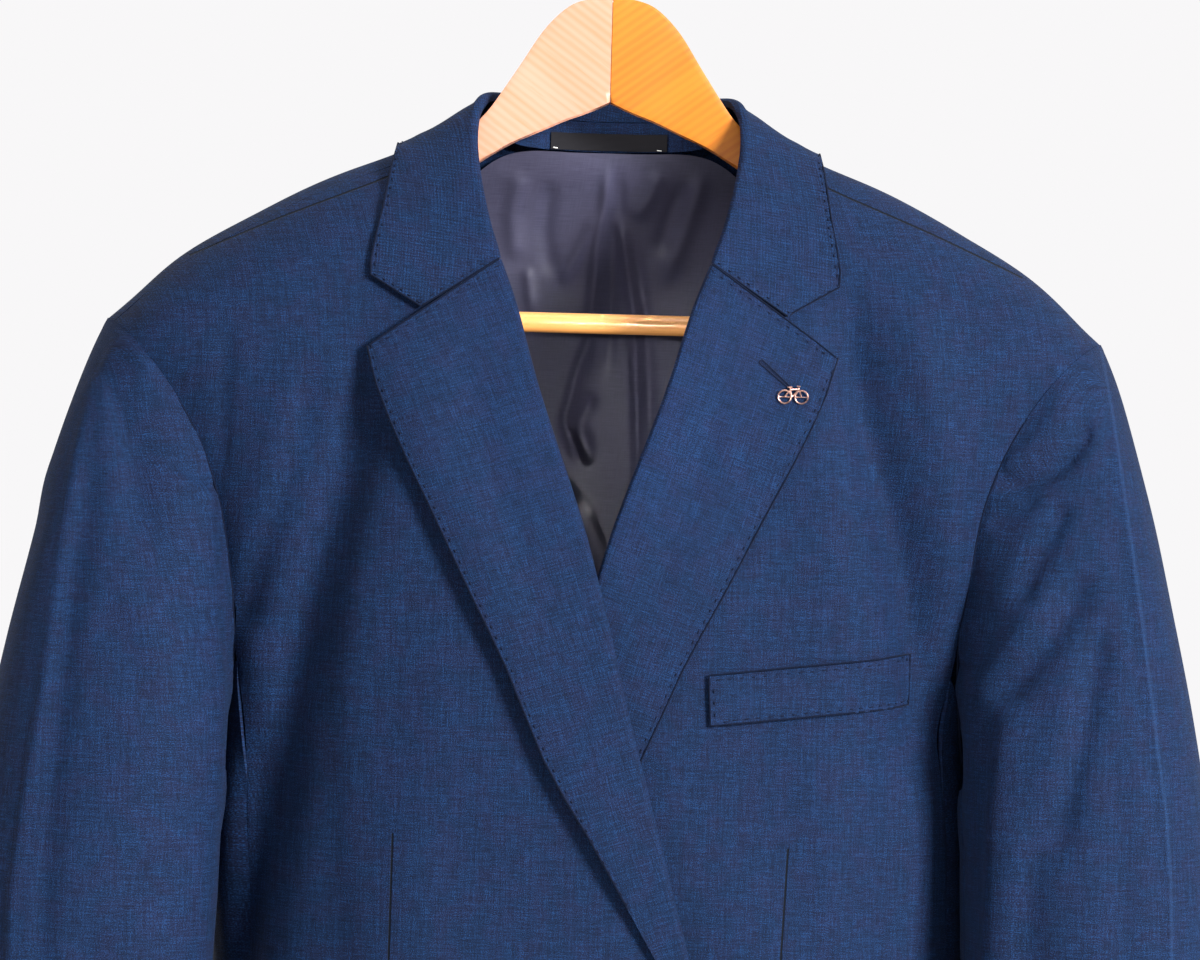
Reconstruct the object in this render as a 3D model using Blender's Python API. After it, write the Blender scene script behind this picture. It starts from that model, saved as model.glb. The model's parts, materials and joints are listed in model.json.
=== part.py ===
"""Men's notch-lapel suit jacket, hanging open on a wooden hanger.

All sizes are in millimetres and become metres when a mesh is made. +Z is up, +X is the
viewer's right, and the front of the jacket faces -Y. The origin is the inside top of the
hanger's hook, where it rests on a rail.
"""
import math

import bmesh
import bpy
from mathutils import Vector
from mathutils.bvhtree import BVHTree

MM = 0.001

# ---- driving sizes -------------------------------------------------------------------
CLOTH = 1.8              # shell cloth with its canvas
LINING = 1.0
SEAM_GAP = 0.3           # between two pieces at a seam
WELT_CORNERS = ((57.1, -406.1), (164.0, -393.5), (163.2, -419.0), (58.6, -431.1))
WELT_LIFT = 2.5          # of the breast welt's outer face above the front
WELT_CLOTH = 1.4
RIM_SLOPE = 0.6          # the inner face of a wall stops this much short of its rim
LEVEL_SQUARENESS = 2.3   # exponent of a horizontal section of the body
SLEEVE_SQUARENESS = 2.2
SHOULDER_ROUND = 45.0    # drop over which the cloth turns from the shoulder to the front
HEM_Z = -916.0
BREAK_Z = -590.0         # where the lapel stops rolling
UNDERARM_Z = -436.0
SLEEVE_TOP_Z = -470.0    # first level section of a sleeve
CUFF_Z = -868.0
SIDE_SEAM_SHARE = 0.93   # of the half width, front and back seams of the side panel
OVERLAP_LIFT = 4.5       # top front stands this far out where the fronts cross
OVERLAP_SINK = 5.5       # under front stands this far in
ROLL_RADIUS = 4.0        # soft fold of a lapel and the collar
LEAF_LIFT = 3.4          # outer face of a lapel's or collar's edge above the front
COLLAR_LIFT = 4.6        # and of the collar's leaf above the shoulder and back
BUTTON_FRONT = 20.0
BUTTON_CUFF = 15.0
BAR_Z = -228.6
BAR_DIAMETER = 10.4
HOOK_WIRE = 3.6
HOOK_INSIDE_RADIUS = 18.0


class Table:
    """Rows of named columns; at() reads a column smoothly between rows."""

    def __init__(self, names, rows):
        self.names = names.split()
        self.rows = sorted(rows, reverse=True)

    def at(self, key, name):
        col = self.names.index(name)
        xs = [row[0] for row in self.rows]
        ys = [row[col] for row in self.rows]
        if key >= xs[0]:
            return ys[0]
        if key <= xs[-1]:
            return ys[-1]
        k = next(i for i in range(len(xs) - 1) if key >= xs[i + 1])
        span = xs[k + 1] - xs[k]
        share = (key - xs[k]) / span

        def slope(i):
            low, high = max(i - 1, 0), min(i + 1, len(xs) - 1)
            return (ys[high] - ys[low]) / (xs[high] - xs[low]) * span

        s2, s3 = share * share, share ** 3
        return ((2 * s3 - 3 * s2 + 1) * ys[k] + (s3 - 2 * s2 + share) * slope(k)
                + (3 * s2 - 2 * s3) * ys[k + 1] + (s3 - s2) * slope(k + 1))


# Level sections of the body: how far the front and the back stand from the hanger's
# plane, and half the width.
BODY = Table("z front back half_width", [
    (-110, 14, 38, 320), (-130, 26, 43, 320), (-150, 38, 49, 320), (-175, 52, 57, 320),
    (-200, 63, 64, 320), (-233, 75, 71, 320), (-270, 84, 78, 270), (-310, 90, 83, 235),
    (-350, 94, 87, 212), (-400, 96, 90, 199), (-436, 97, 92, 193), (-470, 97, 91, 195.5),
    (-500, 97, 90, 196.5), (-550, 96, 87, 197), (-600, 95, 85, 195), (-650, 93, 84, 191),
    (-700, 92, 85, 189), (-750, 92, 87, 191), (-840, 95, 91, 197), (-916, 99, 95, 201)])

# Shoulder line, from the collar's fold to the sleeve head: -x is the key.
SHOULDER = Table("minus_x z", [
    (0, -113), (-40, -114), (-66, -117.5), (-88, -131.5), (-109, -142), (-140, -154.3),
    (-168, -167.8), (-189, -179.8), (-209, -191.2), (-228.4, -205.2), (-244, -220.3),
    (-257.4, -232.2)])

# Front panel's free edge: the fold of the lapel, the front edge and the cutaway corner.
FRONT_EDGE = Table("z x", [
    (-112, 68), (-127, 68), (-137, 67.5), (-148, 66), (-162, 63.5), (-176, 60),
    (-188, 56.3), (-198, 53), (-222, 44), (-235, 40.1), (-258, 33.4), (-282, 25),
    (-308, 15.9), (-333, 7), (-354, 0), (-381, -6.5), (-406, -12.6), (-429, -18.5),
    (-459, -26.7), (-492, -35.9), (-522, -44.1), (-549, -51.6), (-575, -58), (-600, -62.5),
    (-640, -66), (-700, -67), (-760, -66), (-810, -61), (-850, -49), (-880, -32),
    (-900, -11), (-911, 12), (-916, 40)])

# Outer edges of the front and the back: armhole, then the side panel's seam.
FRONT_ARMHOLE = Table("z x", [
    (-232.2, 257.4), (-233.4, 253.3), (-236.8, 247.5), (-241.2, 241.3), (-247, 235.7),
    (-253, 229.7), (-268.7, 218.3), (-284.6, 208.7), (-298, 202.6), (-322, 194),
    (-346, 189), (-376, 186), (-405, 183.6)])
BACK_ARMHOLE = Table("z x", [
    (-232.2, 257.4), (-233.6, 255), (-237.6, 249.5), (-243, 244), (-250, 238.5),
    (-258, 232), (-273, 221), (-290, 212), (-304, 206), (-330, 198), (-360, 191.5),
    (-390, 186), (-405, 183.6)])

# Inner edge of a back panel: neck seam above, centre-back seam below.
BACK_EDGE = Table("z x", [
    (-118, 72.3), (-124, 70), (-131, 62), (-138, 48), (-144, 31), (-148, 14), (-151, 0.15)])

# Upper rows of a panel follow the shoulder line at these drops below it. The top front's
# shoulder seam lies forward of the line, and the back reaches over to it.
FORWARD_DROPS = (7.0, 9.5, 13.5, 19.0, 26.0, 35.0)
LEVEL_DROPS = (0.002, 2.0, 7.0, 14.5, 24.5, 35.0)
BACK_OVER_DROPS = (6.8, 3.0, 0.8)
BACK_DROPS = (0.0, 2.0, 7.0, 14.5, 24.5, 35.0)

# Lower rows: height at the free edge and at the outer edge, and how much of the shoulder
# line's bend the row keeps.
PANEL_ROWS = Table("free_z outer_z bend", [
    (-160, -256, 0.95), (-182, -271, 0.8), (-206, -287, 0.65), (-236, -306, 0.5),
    (-271, -328, 0.3), (-312, -352, 0.15), (-356, -378, 0.0), (-398, -404, 0.0),
    (-440, -440, 0.0), (-480, -480, 0.0), (-522, -522, 0.0), (-560, -560, 0.0),
    (-598, -598, 0.0), (-640, -640, 0.0), (-690, -690, 0.0), (-740, -740, 0.0),
    (-790, -790, 0.0), (-832, -832, 0.0), (-862, -865, 0.0), (-885, -892, 0.0),
    (-901, -906, 0.0), (-911, -914, 0.0), (-916, -916, 0.0)])

# Lapel: fold and outer edge at matching stations, key is the fold's height.
LAPEL = Table("fold_z fold_x edge_x edge_z", [
    (-198.3, 53, 118.2, -245), (-222, 44, 112, -264.5), (-258, 33.4, 99.6, -293),
    (-295, 20.5, 82.5, -327), (-333, 7, 64, -364), (-381.5, -6.5, 43.5, -404),
    (-429, -18.5, 23, -451), (-475, -31.2, 0.5, -488), (-522, -44.1, -22, -527),
    (-562, -54.8, -43, -564), (-588, -60.5, -54, -589)])

# Collar from the gorge seam round the neck to the back centre: fold, leaf edge, the turn
# of its section from front (0) to back (180 degrees), and the height of the stand.
COLLAR = Table("station fold_x fold_y fold_z edge_x edge_y edge_z turn stand", [
    (0, 53.2, 0, -197.7, 92.4, 0, -224.0, 0, 0),
    (-1, 54.8, 0, -192, 118.6, 0, -208.6, 0, 0),
    (-2, 57.6, 0, -184, 119.0, 0, -201.0, 0, 0),
    (-3, 60.2, 0, -175, 117.0, 0, -188.0, 0, 0),
    (-4, 63.4, 0, -162, 114.2, 0, -173.0, 0, 0),
    (-5, 66, -36, -148, 112.2, -36, -157.5, 8, 0),
    (-6, 67.8, -26, -132, 110.4, -22, -146.0, 28, 0),
    (-7, 67.8, -14, -119, 108.6, -4, -139.6, 55, 0),
    (-8, 65, 0, -110.2, 104.5, 17, -142.5, 85, 0),
    (-9, 58, 15, -108.2, 96, 36, -150.5, 115, 4),
    (-10, 46, 27, -107.8, 80, 51, -158.0, 145, 8),
    (-11, 30, 35.5, -107.8, 54, 59.5, -162.5, 165, 9),
    (-12, 14, 39.3, -107.8, 27, 63.5, -164.6, 175, 9),
    (-13, 0, 40, -107.8, 0, 65, -165, 180, 9)])
COLLAR_STATIONS = 13
HEAD_ROWS = 7            # sections of a sleeve above the underarm
ARM_ROWS = 7             # and below it
FOLD_STEPS = 4           # sections round the fold of a lapel or the collar
LEAF_STEPS = 6           # sections from the fold to the edge

# Level sections of a sleeve below the armhole.
SLEEVE = Table("z outer_x inner_x middle_y half_depth", [
    (-470, 314, 190, -43, 64), (-500, 318, 190.5, -45, 64),
    (-550, 322, 191.5, -46.5, 63.5), (-600, 325, 193, -47, 62), (-650, 325.5, 195.5, -47, 60),
    (-700, 323.5, 199, -47.5, 58), (-750, 320, 203, -48.5, 55.5), (-800, 315, 208, -50, 52.5),
    (-868, 307, 214, -53, 49)])

# How a sleeve leaves its armhole and arrives at the first level section. Each offset is
# a + b c + d q + e s (1 - c) / 2, where c is 1 outside and -1 inside, s is 1 in front and -1
# behind, and q is s squared for the offsets at the armhole and c squared at the section.
SEAM_STEP = 1.4          # the sleeve's rim stands this far out of the armhole
LEAVE_OUT, LEAVE_BACK, LEAVE_UP = (5.5, 3.0, 6.5, -6), (0, 0, 0, -9), (-10, -5, 2, 0)
ARRIVE_OUT, ARRIVE_BACK, ARRIVE_UP = (-6, -18, -2.5, -15), (3, -3, 0, 0), (85, 66.5, -4.5, 0)

# Largest folds of the hung cloth: facing (-1 front, 1 back), side, how far out (a trough
# below 0), half width, and the path (x, z) from the top down, x counted outwards.
BODY_FOLDS = (
    (-1, -1, -5.0, 19, ((117, -245), (129, -292), (147, -366), (163, -472), (174, -560))),
    (-1, -1, 2.0, 14, ((138, -271), (150, -330), (164, -384))),
    (-1, -1, 2.5, 24, ((96, -470), (104, -620), (106, -880))),
    (-1, -1, -2.5, 20, ((146, -600), (150, -720), (152, -900))),
    (-1, 1, -4.2, 17, ((124, -214), (136, -274), (150, -325), (164, -380), (172, -450))),
    (-1, 1, 1.8, 16, ((108, -270), (120, -340), (132, -390))),
    (-1, 1, 2.5, 24, ((84, -520), (92, -680), (90, -880))),
    (-1, 1, -2.5, 20, ((138, -620), (146, -740), (150, -900))),
    (1, -1, -3.5, 20, ((94, -215), (98, -280), (88, -390), (80, -540))),
    (1, 1, -3.2, 20, ((98, -220), (104, -290), (92, -400), (84, -540))),
    (1, -1, 2.6, 22, ((134, -250), (140, -340), (128, -470))),
    (1, 1, 2.6, 22, ((134, -250), (140, -340), (128, -470))),
    (1, -1, -2.6, 20, ((52, -560), (62, -700), (66, -900))),
    (1, 1, -2.8, 20, ((56, -540), (66, -700), (72, -900))))
SLEEVE_FOLDS = (
    (-1, -1, -2.4, 11, ((249, -238), (238, -290), (228, -350))),
    (-1, -1, -2.4, 13, ((216, -500), (238, -534), (266, -552))),
    (-1, -1, -2.6, 13, ((216, -640), (244, -624), (272, -618))),
    (-1, 1, -2.4, 10, ((246, -264), (236, -288), (214, -305))),
    (-1, 1, -3.2, 12, ((250, -348), (236, -370), (212, -405))),
    (-1, 1, -3.0, 12, ((254, -374), (245, -418), (232, -478))),
    (-1, 1, -2.6, 13, ((216, -600), (244, -588), (270, -586))),
    (1, -1, -3.0, 15, ((228, -340), (254, -366), (284, -376))),
    (1, -1, -2.6, 14, ((226, -556), (254, -572), (286, -574))),
    (1, 1, -3.0, 15, ((228, -336), (254, -360), (284, -370))),
    (1, 1, -2.6, 14, ((226, -546), (254, -562), (286, -562))))

# Hanger arm: key is -x; top and bottom edge, middle of its thickness, thickness.
ARM = Table("minus_x top bottom middle_y thick", [
    (-0.15, -60.4, -111.4, 0, 14), (-8, -61.0, -114.8, 0, 14), (-16, -63.4, -118.2, 0, 14),
    (-24.1, -67.8, -121.7, 0, 14), (-34.8, -78.6, -127.4, 0, 14), (-44, -92.4, -132.4, -0.5, 14),
    (-55.6, -109.4, -138.8, -1, 14), (-66, -123, -145.5, -2, 14), (-88, -141, -160, -4, 14.5),
    (-110, -152.5, -173, -7, 16), (-140, -167, -188, -11, 19), (-165, -179.5, -203, -15, 22),
    (-174, -185, -228, -17, 23), (-188, -194, -237, -18.5, 23), (-203, -205, -236, -19.5, 21),
    (-212, -212.5, -229, -20, 17), (-216, -216, -223, -20, 10)])


# ---- surfaces ------------------------------------------------------------------------
def shoulder_z(x):
    return SHOULDER.at(-abs(x), "z")


def side_share(x, z):
    """Share of a level section's depth that is left at x."""
    reach = min(abs(x) / BODY.at(z, "half_width"), 0.9995)
    return (1 - reach ** LEVEL_SQUARENESS) ** (1 / LEVEL_SQUARENESS)


def shoulder_share(x, z):
    """0 on the shoulder line, 1 where the cloth hangs free below it."""
    drop = min(max(shoulder_z(x) - z, 0.0) / SHOULDER_ROUND, 1.0)
    return math.sqrt(1 - (1 - drop) ** 2)


def front_y(x, z):
    return -BODY.at(z, "front") * side_share(x, z) * shoulder_share(x, z)


def back_y(x, z):
    return BODY.at(z, "back") * side_share(x, z) * shoulder_share(x, z)


def overlap_weight(x, z):
    """1 where the two fronts lie over each other, 0 out at the chest."""
    across = min(max((135 - abs(x)) / 60, 0.0), 1.0)
    down = min(max((-210 - z) / 110, 0.0), 1.0)
    return (across * across * (3 - 2 * across)) * (down * down * (3 - 2 * down))


def panel_y(side, x, z):
    """Outer face of a front: side -1 is the top front, +1 the under one."""
    move = -OVERLAP_LIFT if side < 0 else OVERLAP_SINK
    return front_y(x, z) + move * overlap_weight(x, z) - panel_push(-1, side, x, z)


def ring_point(angle, z):
    """Point of the body's level section: 0 front middle, 90 side, 180 back middle."""
    turn = math.radians(angle)
    power = 2 / LEVEL_SQUARENESS
    x = BODY.at(z, "half_width") * abs(math.sin(turn)) ** power
    depth = -BODY.at(z, "front") if angle < 90 else BODY.at(z, "back")
    return Vector((x, depth * abs(math.cos(turn)) ** power, z))


def blend(a, b, share):
    return a + (b - a) * share


def fold_push(folds, facing, side, x, z):
    """How far out the folds of one face and side move the cloth at x, z."""
    push, here = 0.0, Vector((x, z))
    for fold_facing, fold_side, depth, width, path in folds:
        if (fold_facing, fold_side) != (facing, side):
            continue
        nearest, where = 1e9, 0.0
        for k, (a, b) in enumerate(zip(path, path[1:])):
            a, b = Vector(a), Vector(b)
            share = min(max((here - a).dot(b - a) / (b - a).length_squared, 0.0), 1.0)
            away = (here - a.lerp(b, share)).length
            if away < nearest:
                nearest, where = away, (k + share) / (len(path) - 1)
        ends = math.sin(math.pi * (0.12 + 0.76 * where))
        push += depth * ends * math.exp(-(nearest / width) ** 2)
    return push


def panel_push(facing, side, x, z):
    """Folds of a body panel, fading out at its armhole and side seam."""
    edge = outer_edge_x(FRONT_ARMHOLE, min(z, FRONT_ARMHOLE.rows[0][0]))
    fade = min(max((edge - x - 2) / 28, 0.0), 1.0)
    return fold_push(BODY_FOLDS, facing, side, x, z) * fade * fade * (3 - 2 * fade)


def spread(count, ease=0.0):
    """count + 1 shares from 0 to 1, closer together at 1 when ease is over 0."""
    steps = [i / count for i in range(count + 1)]
    return [s + ease * s * (1 - s) for s in steps]


# ---- mesh helpers --------------------------------------------------------------------
def clear_scene():
    for thing in list(bpy.data.objects):
        bpy.data.objects.remove(thing, do_unlink=True)


def paint(name, colour, roughness, metallic=0.0):
    material = bpy.data.materials.new(name)
    material.use_nodes = True
    shader = material.node_tree.nodes["Principled BSDF"]
    shader.inputs["Base Color"].default_value = (*colour, 1.0)
    shader.inputs["Roughness"].default_value = roughness
    shader.inputs["Metallic"].default_value = metallic
    return material


def make_object(name, points, faces, material):
    """One closed body from points in millimetres; its faces are turned outwards."""
    mesh = bpy.data.meshes.new(name)
    mesh.from_pydata([Vector(p) * MM for p in points], [], faces)
    work = bmesh.new()
    work.from_mesh(mesh)
    bmesh.ops.recalc_face_normals(work, faces=work.faces)
    bmesh.ops.triangulate(work, faces=work.faces)
    work.to_mesh(mesh)
    work.free()
    mesh.shade_smooth()
    mesh.set_sharp_from_angle(angle=math.radians(40))
    mesh.materials.append(material)
    thing = bpy.data.objects.new(name, mesh)
    bpy.context.scene.collection.objects.link(thing)
    return thing


def grid_normals(rows):
    """Unit normal at each point of a grid, from its neighbours."""
    high, wide = len(rows), len(rows[0])
    normals = []
    for i in range(high):
        line = []
        for j in range(wide):
            down = rows[min(i + 1, high - 1)][j] - rows[max(i - 1, 0)][j]
            across = rows[i][min(j + 1, wide - 1)] - rows[i][max(j - 1, 0)]
            line.append(across.cross(down).normalized())
        normals.append(line)
    return normals


def pull_rim_in(inner, high, wide):
    """The inner face of a wall, its border moved in, so that the rim slopes."""
    pulled = list(inner)
    for i in range(high):
        for j in range(wide):
            beside = []
            if i in (0, high - 1):
                beside.append((1 if i == 0 else high - 2, j))
            if j in (0, wide - 1):
                beside.append((i, 1 if j == 0 else wide - 2))
            for near_i, near_j in beside:
                step = inner[near_i * wide + near_j] - inner[i * wide + j]
                pulled[i * wide + j] = pulled[i * wide + j] + step.normalized() * RIM_SLOPE
    return pulled


def cloth_wall(name, rows, thickness, material, inward=1):
    """Closed wall between the grid and its copy moved a thickness along the normals, or
    against them where inward is -1."""
    high, wide = len(rows), len(rows[0])
    normals = grid_normals(rows)
    outer = [p for line in rows for p in line]
    inner = [rows[i][j] + normals[i][j] * thickness * inward
             for i in range(high) for j in range(wide)]
    inner = pull_rim_in(inner, high, wide)
    shift = high * wide
    faces = []
    for i in range(high - 1):
        for j in range(wide - 1):
            a, b = i * wide + j, i * wide + j + 1
            c, d = a + wide, b + wide
            faces.append((a, c, d, b))
            faces.append((a + shift, b + shift, d + shift, c + shift))
    border = [j for j in range(wide)]
    border += [i * wide + wide - 1 for i in range(1, high)]
    border += [(high - 1) * wide + j for j in range(wide - 2, -1, -1)]
    border += [i * wide for i in range(high - 2, 0, -1)]
    for a, b in zip(border, border[1:] + border[:1]):
        faces.append((a, b, b + shift, a + shift))
    return make_object(name, outer + inner, faces, material)


# ---- body panels ---------------------------------------------------------------------
def outer_edge_x(armhole, z):
    """Outer edge of a front or back panel: armhole above, side seam below."""
    low = armhole.rows[-1][0]
    if z >= low:
        return armhole.at(z, "x")
    share = min((low - z) / 35, 1.0)
    return blend(armhole.at(low, "x"), SIDE_SEAM_SHARE * BODY.at(z, "half_width"), share)


def free_edge_x(z):
    """Front edge of the panel itself, behind the fold of the lapel above the break."""
    share = min(max((z - (BREAK_Z - 32)) / 30, 0.0), 1.0)
    return FRONT_EDGE.at(z, "x") + share * (ROLL_RADIUS + 3 * SEAM_GAP)


def height_at_drop(edge_x, drop):
    """Height on an edge where it lies a drop below the shoulder line."""
    low, high = -330.0, -100.0
    for _ in range(40):
        middle = (low + high) / 2
        if shoulder_z(edge_x(middle)) - middle > drop:
            low = middle
        else:
            high = middle
    return (low + high) / 2


def panel_grid(free_x, armhole, drops, y_at, side, columns, over_drops=()):
    """Grid of a front or back panel, shoulder seam to hem, free edge to outer edge. The
    rows of over_drops lie on the other side of the shoulder line."""
    def outer_x(z):
        return outer_edge_x(armhole, z) - SEAM_GAP / 2

    def over_x(z):
        return outer_edge_x(FRONT_ARMHOLE, z) - SEAM_GAP / 2

    rows = []
    over = [(drop, front_y, over_x) for drop in over_drops]
    for drop, height, edge_x in over + [(drop, y_at, outer_x) for drop in drops]:
        first, last = free_x(height_at_drop(free_x, drop)), edge_x(height_at_drop(edge_x, drop))
        line = []
        for share in columns:
            x = blend(first, last, share)
            z = shoulder_z(x) - drop
            line.append(Vector((side * x, height(x, z), z)))
        rows.append(line)
    for free_z, outer_z, bend in PANEL_ROWS.rows:
        first, last = free_x(free_z), outer_x(outer_z)
        line = []
        for share in columns:
            x, z = blend(first, last, share), blend(free_z, outer_z, share)
            z += bend * (shoulder_z(x) - blend(shoulder_z(first), shoulder_z(last), share))
            line.append(Vector((side * x, y_at(x, z), z)))
        rows.append(line)
    return rows


def make_fronts(cloth):
    columns = spread(11, ease=0.45)
    for name, side, drops in (("front_left", -1, FORWARD_DROPS), ("front_right", 1, LEVEL_DROPS)):
        grid = panel_grid(free_edge_x, FRONT_ARMHOLE, drops,
                          lambda x, z, side=side: panel_y(side, x, z), side, columns)
        cloth_wall(name, grid, CLOTH, cloth, inward=side)


def make_backs(cloth):
    columns = spread(8, ease=0.4)

    def middle_x(z):
        return BACK_EDGE.at(z, "x")

    for name, side, over in (("back_left", -1, BACK_OVER_DROPS), ("back_right", 1, ())):
        grid = panel_grid(middle_x, BACK_ARMHOLE, BACK_DROPS,
                          lambda x, z, side=side: back_y(x, z) + panel_push(1, side, x, z),
                          side, columns, over)
        cloth_wall(name, grid, CLOTH, cloth, inward=-side)


def seam_angle(x, z):
    """Angle round the body at which a level section reaches x."""
    share = min(x / BODY.at(z, "half_width"), 1.0)
    return math.degrees(math.asin(share ** (LEVEL_SQUARENESS / 2)))


def side_top_z(share):
    """Top edge of the side panel: the bottom of the armhole."""
    low = FRONT_ARMHOLE.rows[-1][0]
    return low + (UNDERARM_Z - low) * math.sin(math.pi * share) ** 0.8


def side_point(share, down):
    """Point of a side panel, share from front seam to back seam, down from 0 to 1."""
    z = blend(side_top_z(share), HEM_Z, down)
    seam = seam_angle(outer_edge_x(FRONT_ARMHOLE, z), z)
    return ring_point(blend(seam, 180 - seam, share), z)


def make_sides(cloth):
    inset = 0.0022
    for name, side in (("side_left", -1), ("side_right", 1)):
        rows = []
        for down in spread(10):
            line = []
            for share in spread(7):
                p = side_point(blend(inset, 1 - inset, share), down)
                line.append(Vector((side * p.x, p.y, p.z)))
            rows.append(line)
        cloth_wall(name, rows, CLOTH, cloth, inward=side)


# ---- sleeves -------------------------------------------------------------------------
def armhole_loop():
    """Closed loop of the armhole on the wearer's right-hand side copy, from the tip down
    the front, under the arm and up the back."""
    points = [Vector((x, front_y(x, z), z)) for z, x in FRONT_ARMHOLE.rows]
    points += [side_point(k / 8, 0.0) for k in range(1, 8)]
    points += [Vector((x, back_y(x, z), z)) for z, x in reversed(BACK_ARMHOLE.rows[1:])]
    return points


def along_loop(points, share):
    """Point at a share of a closed loop's length."""
    ring = points + points[:1]
    lengths = [(b - a).length for a, b in zip(ring, ring[1:])]
    rest = (share % 1.0) * sum(lengths)
    for a, b, length in zip(ring, ring[1:], lengths):
        if rest <= length:
            return a.lerp(b, rest / length)
        rest -= length
    return ring[-1]


def sleeve_section(turn, z):
    """Level section of a sleeve: turn 0 outside, 0.25 front, 0.5 inside, 0.75 back. More
    of the turn is spent on the inside, where the armhole's lower front meets it."""
    inside = (turn % 1.0) - 0.5
    if abs(inside) < 0.25:
        turn = 0.5 + inside * (abs(inside) / 0.25) ** 1.2
    outer, inner = SLEEVE.at(z, "outer_x"), SLEEVE.at(z, "inner_x")
    c, s = math.cos(2 * math.pi * turn), math.sin(2 * math.pi * turn)
    power = 2 / SLEEVE_SQUARENESS
    x = (outer + inner) / 2 + (outer - inner) / 2 * math.copysign(abs(c) ** power, c)
    y = SLEEVE.at(z, "middle_y") - SLEEVE.at(z, "half_depth") * math.copysign(abs(s) ** power, s)
    return Vector((x, y, z))


def sleeve_point(loop, turn, row):
    """Point of a sleeve's outer face; row counts from the armhole seam to the cuff."""
    if row > HEAD_ROWS:
        z = blend(SLEEVE_TOP_Z, CUFF_Z, (row - HEAD_ROWS) / ARM_ROWS)
        return sleeve_section(turn, z)
    c, s = math.cos(2 * math.pi * turn), math.sin(2 * math.pi * turn)

    def offset(square, *sides):
        return Vector([a + b * c + d * square + e * s * (1 - c) / 2 for a, b, d, e in sides])

    start = along_loop(loop, turn) + Vector((SEAM_STEP, -0.6 * s, 0.3 * c))
    leave = start + offset(s * s, LEAVE_OUT, LEAVE_BACK, LEAVE_UP)
    end = sleeve_section(turn, SLEEVE_TOP_Z)
    arrive = end + offset(c * c, ARRIVE_OUT, ARRIVE_BACK, ARRIVE_UP)
    t = row / HEAD_ROWS
    return (start * (1 - t) ** 3 + leave * (3 * t * (1 - t) ** 2)
            + arrive * (3 * t * t * (1 - t)) + end * t ** 3)


def folded_sleeve_point(loop, side, turn, row):
    """The same point, moved out or in by the folds of that side's sleeve."""
    p = sleeve_point(loop, turn, row)
    out = Vector((p.x - 262, p.y + 38, 0))
    facing = -1 if out.y < 0 else 1
    mask = min(abs(out.y) / 22, 1.0) * min(row / 3, 1.0)
    return p + out.normalized() * (fold_push(SLEEVE_FOLDS, facing, side, p.x, p.z) * mask)


def make_sleeves(cloth):
    """Two-piece sleeves: the seams run at the inner front and at the back."""
    loop = armhole_loop()
    front_seam, back_seam, slit = 0.43, 0.70, 0.0007
    pieces = (("topsleeve", back_seam - 1 + slit, front_seam - slit, 14),
              ("undersleeve", front_seam + slit, back_seam - slit, 6))
    for hand, side in (("left", -1), ("right", 1)):
        for piece, start, end, count in pieces:
            rows = []
            for row in range(HEAD_ROWS + ARM_ROWS + 1):
                line = []
                for share in spread(count):
                    p = folded_sleeve_point(loop, side, blend(start, end, share), row)
                    line.append(Vector((side * p.x, p.y, p.z)))
                rows.append(line)
            cloth_wall(f"{piece}_{hand}", rows, CLOTH, cloth, inward=-side)


# ---- lapels and collar ---------------------------------------------------------------
def leaf_lift(share, fold_lift, edge_lift=LEAF_LIFT):
    """How far the outer face of a turned leaf stands above the front, fold to edge."""
    return blend(fold_lift, edge_lift, math.sin(share * math.pi / 2))


def lapel_line(side, fold, edge, radius, y_at):
    """One section of a lapel: half turn of the fold, then the leaf out to its edge."""
    across = Vector((edge.x - fold.x, 0, edge.z - fold.z)).normalized()
    centre = fold + across * radius
    base_y = y_at(centre.x, centre.z) + CLOTH
    line = []
    for step in range(FOLD_STEPS + 1):
        angle = math.radians(-90 + 180 * step / FOLD_STEPS)
        p = centre - across * (radius * math.cos(angle))
        line.append(Vector((p.x, base_y - radius - radius * math.sin(angle), p.z)))
    fold_lift = 2 * radius - CLOTH
    for step in range(1, LEAF_STEPS + 1):
        share = step / LEAF_STEPS
        p = centre.lerp(edge, share)
        line.append(Vector((p.x, y_at(p.x, p.z) - leaf_lift(share, fold_lift), p.z)))
    return [Vector((side * p.x, p.y, p.z)) for p in line]


def make_lapels(cloth):
    """Each lapel turns out over its front; the under one is pressed flat lower down."""
    count = 17
    top, low = LAPEL.rows[0][0], LAPEL.rows[-1][0]
    for name, side, low_radius in (("lapel_left", -1, 3.0), ("lapel_right", 1, 2.9)):
        rows = []
        for share in spread(count):
            z = blend(top - SEAM_GAP / 2, low, share)
            fold = Vector((LAPEL.at(z, "fold_x"), 0, z))
            edge = Vector((LAPEL.at(z, "edge_x"), 0, LAPEL.at(z, "edge_z")))
            radius = blend(ROLL_RADIUS, low_radius, min(share * 1.6, 1.0))
            rows.append(lapel_line(side, fold, edge, radius,
                                   lambda x, z, side=side: panel_y(side, x, z)))
        cloth_wall(name, rows, CLOTH, cloth, inward=side)


def outside_share(p):
    """Above 0 outside the jacket's body, 0 on its surface."""
    column = "front" if p.y < 0 else "back"
    depth = BODY.at(p.z, column) * side_share(p.x, p.z)
    rise = max(1 - (shoulder_z(p.x) - p.z) / SHOULDER_ROUND, 0.0)
    return math.hypot(p.y / depth, rise) - 1


def clear_of_body(p, lift):
    """Move a point of the collar's leaf straight out until it lies clear of the body."""
    for _ in range(6):
        here, step = outside_share(p), 0.05
        slope = Vector([(outside_share(p + axis * step) - here) / step
                        for axis in (Vector((1, 0, 0)), Vector((0, 1, 0)), Vector((0, 0, 1)))])
        short = lift - here / slope.length
        if short <= 0:
            break
        p = p + slope.normalized() * short
    return p


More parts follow.
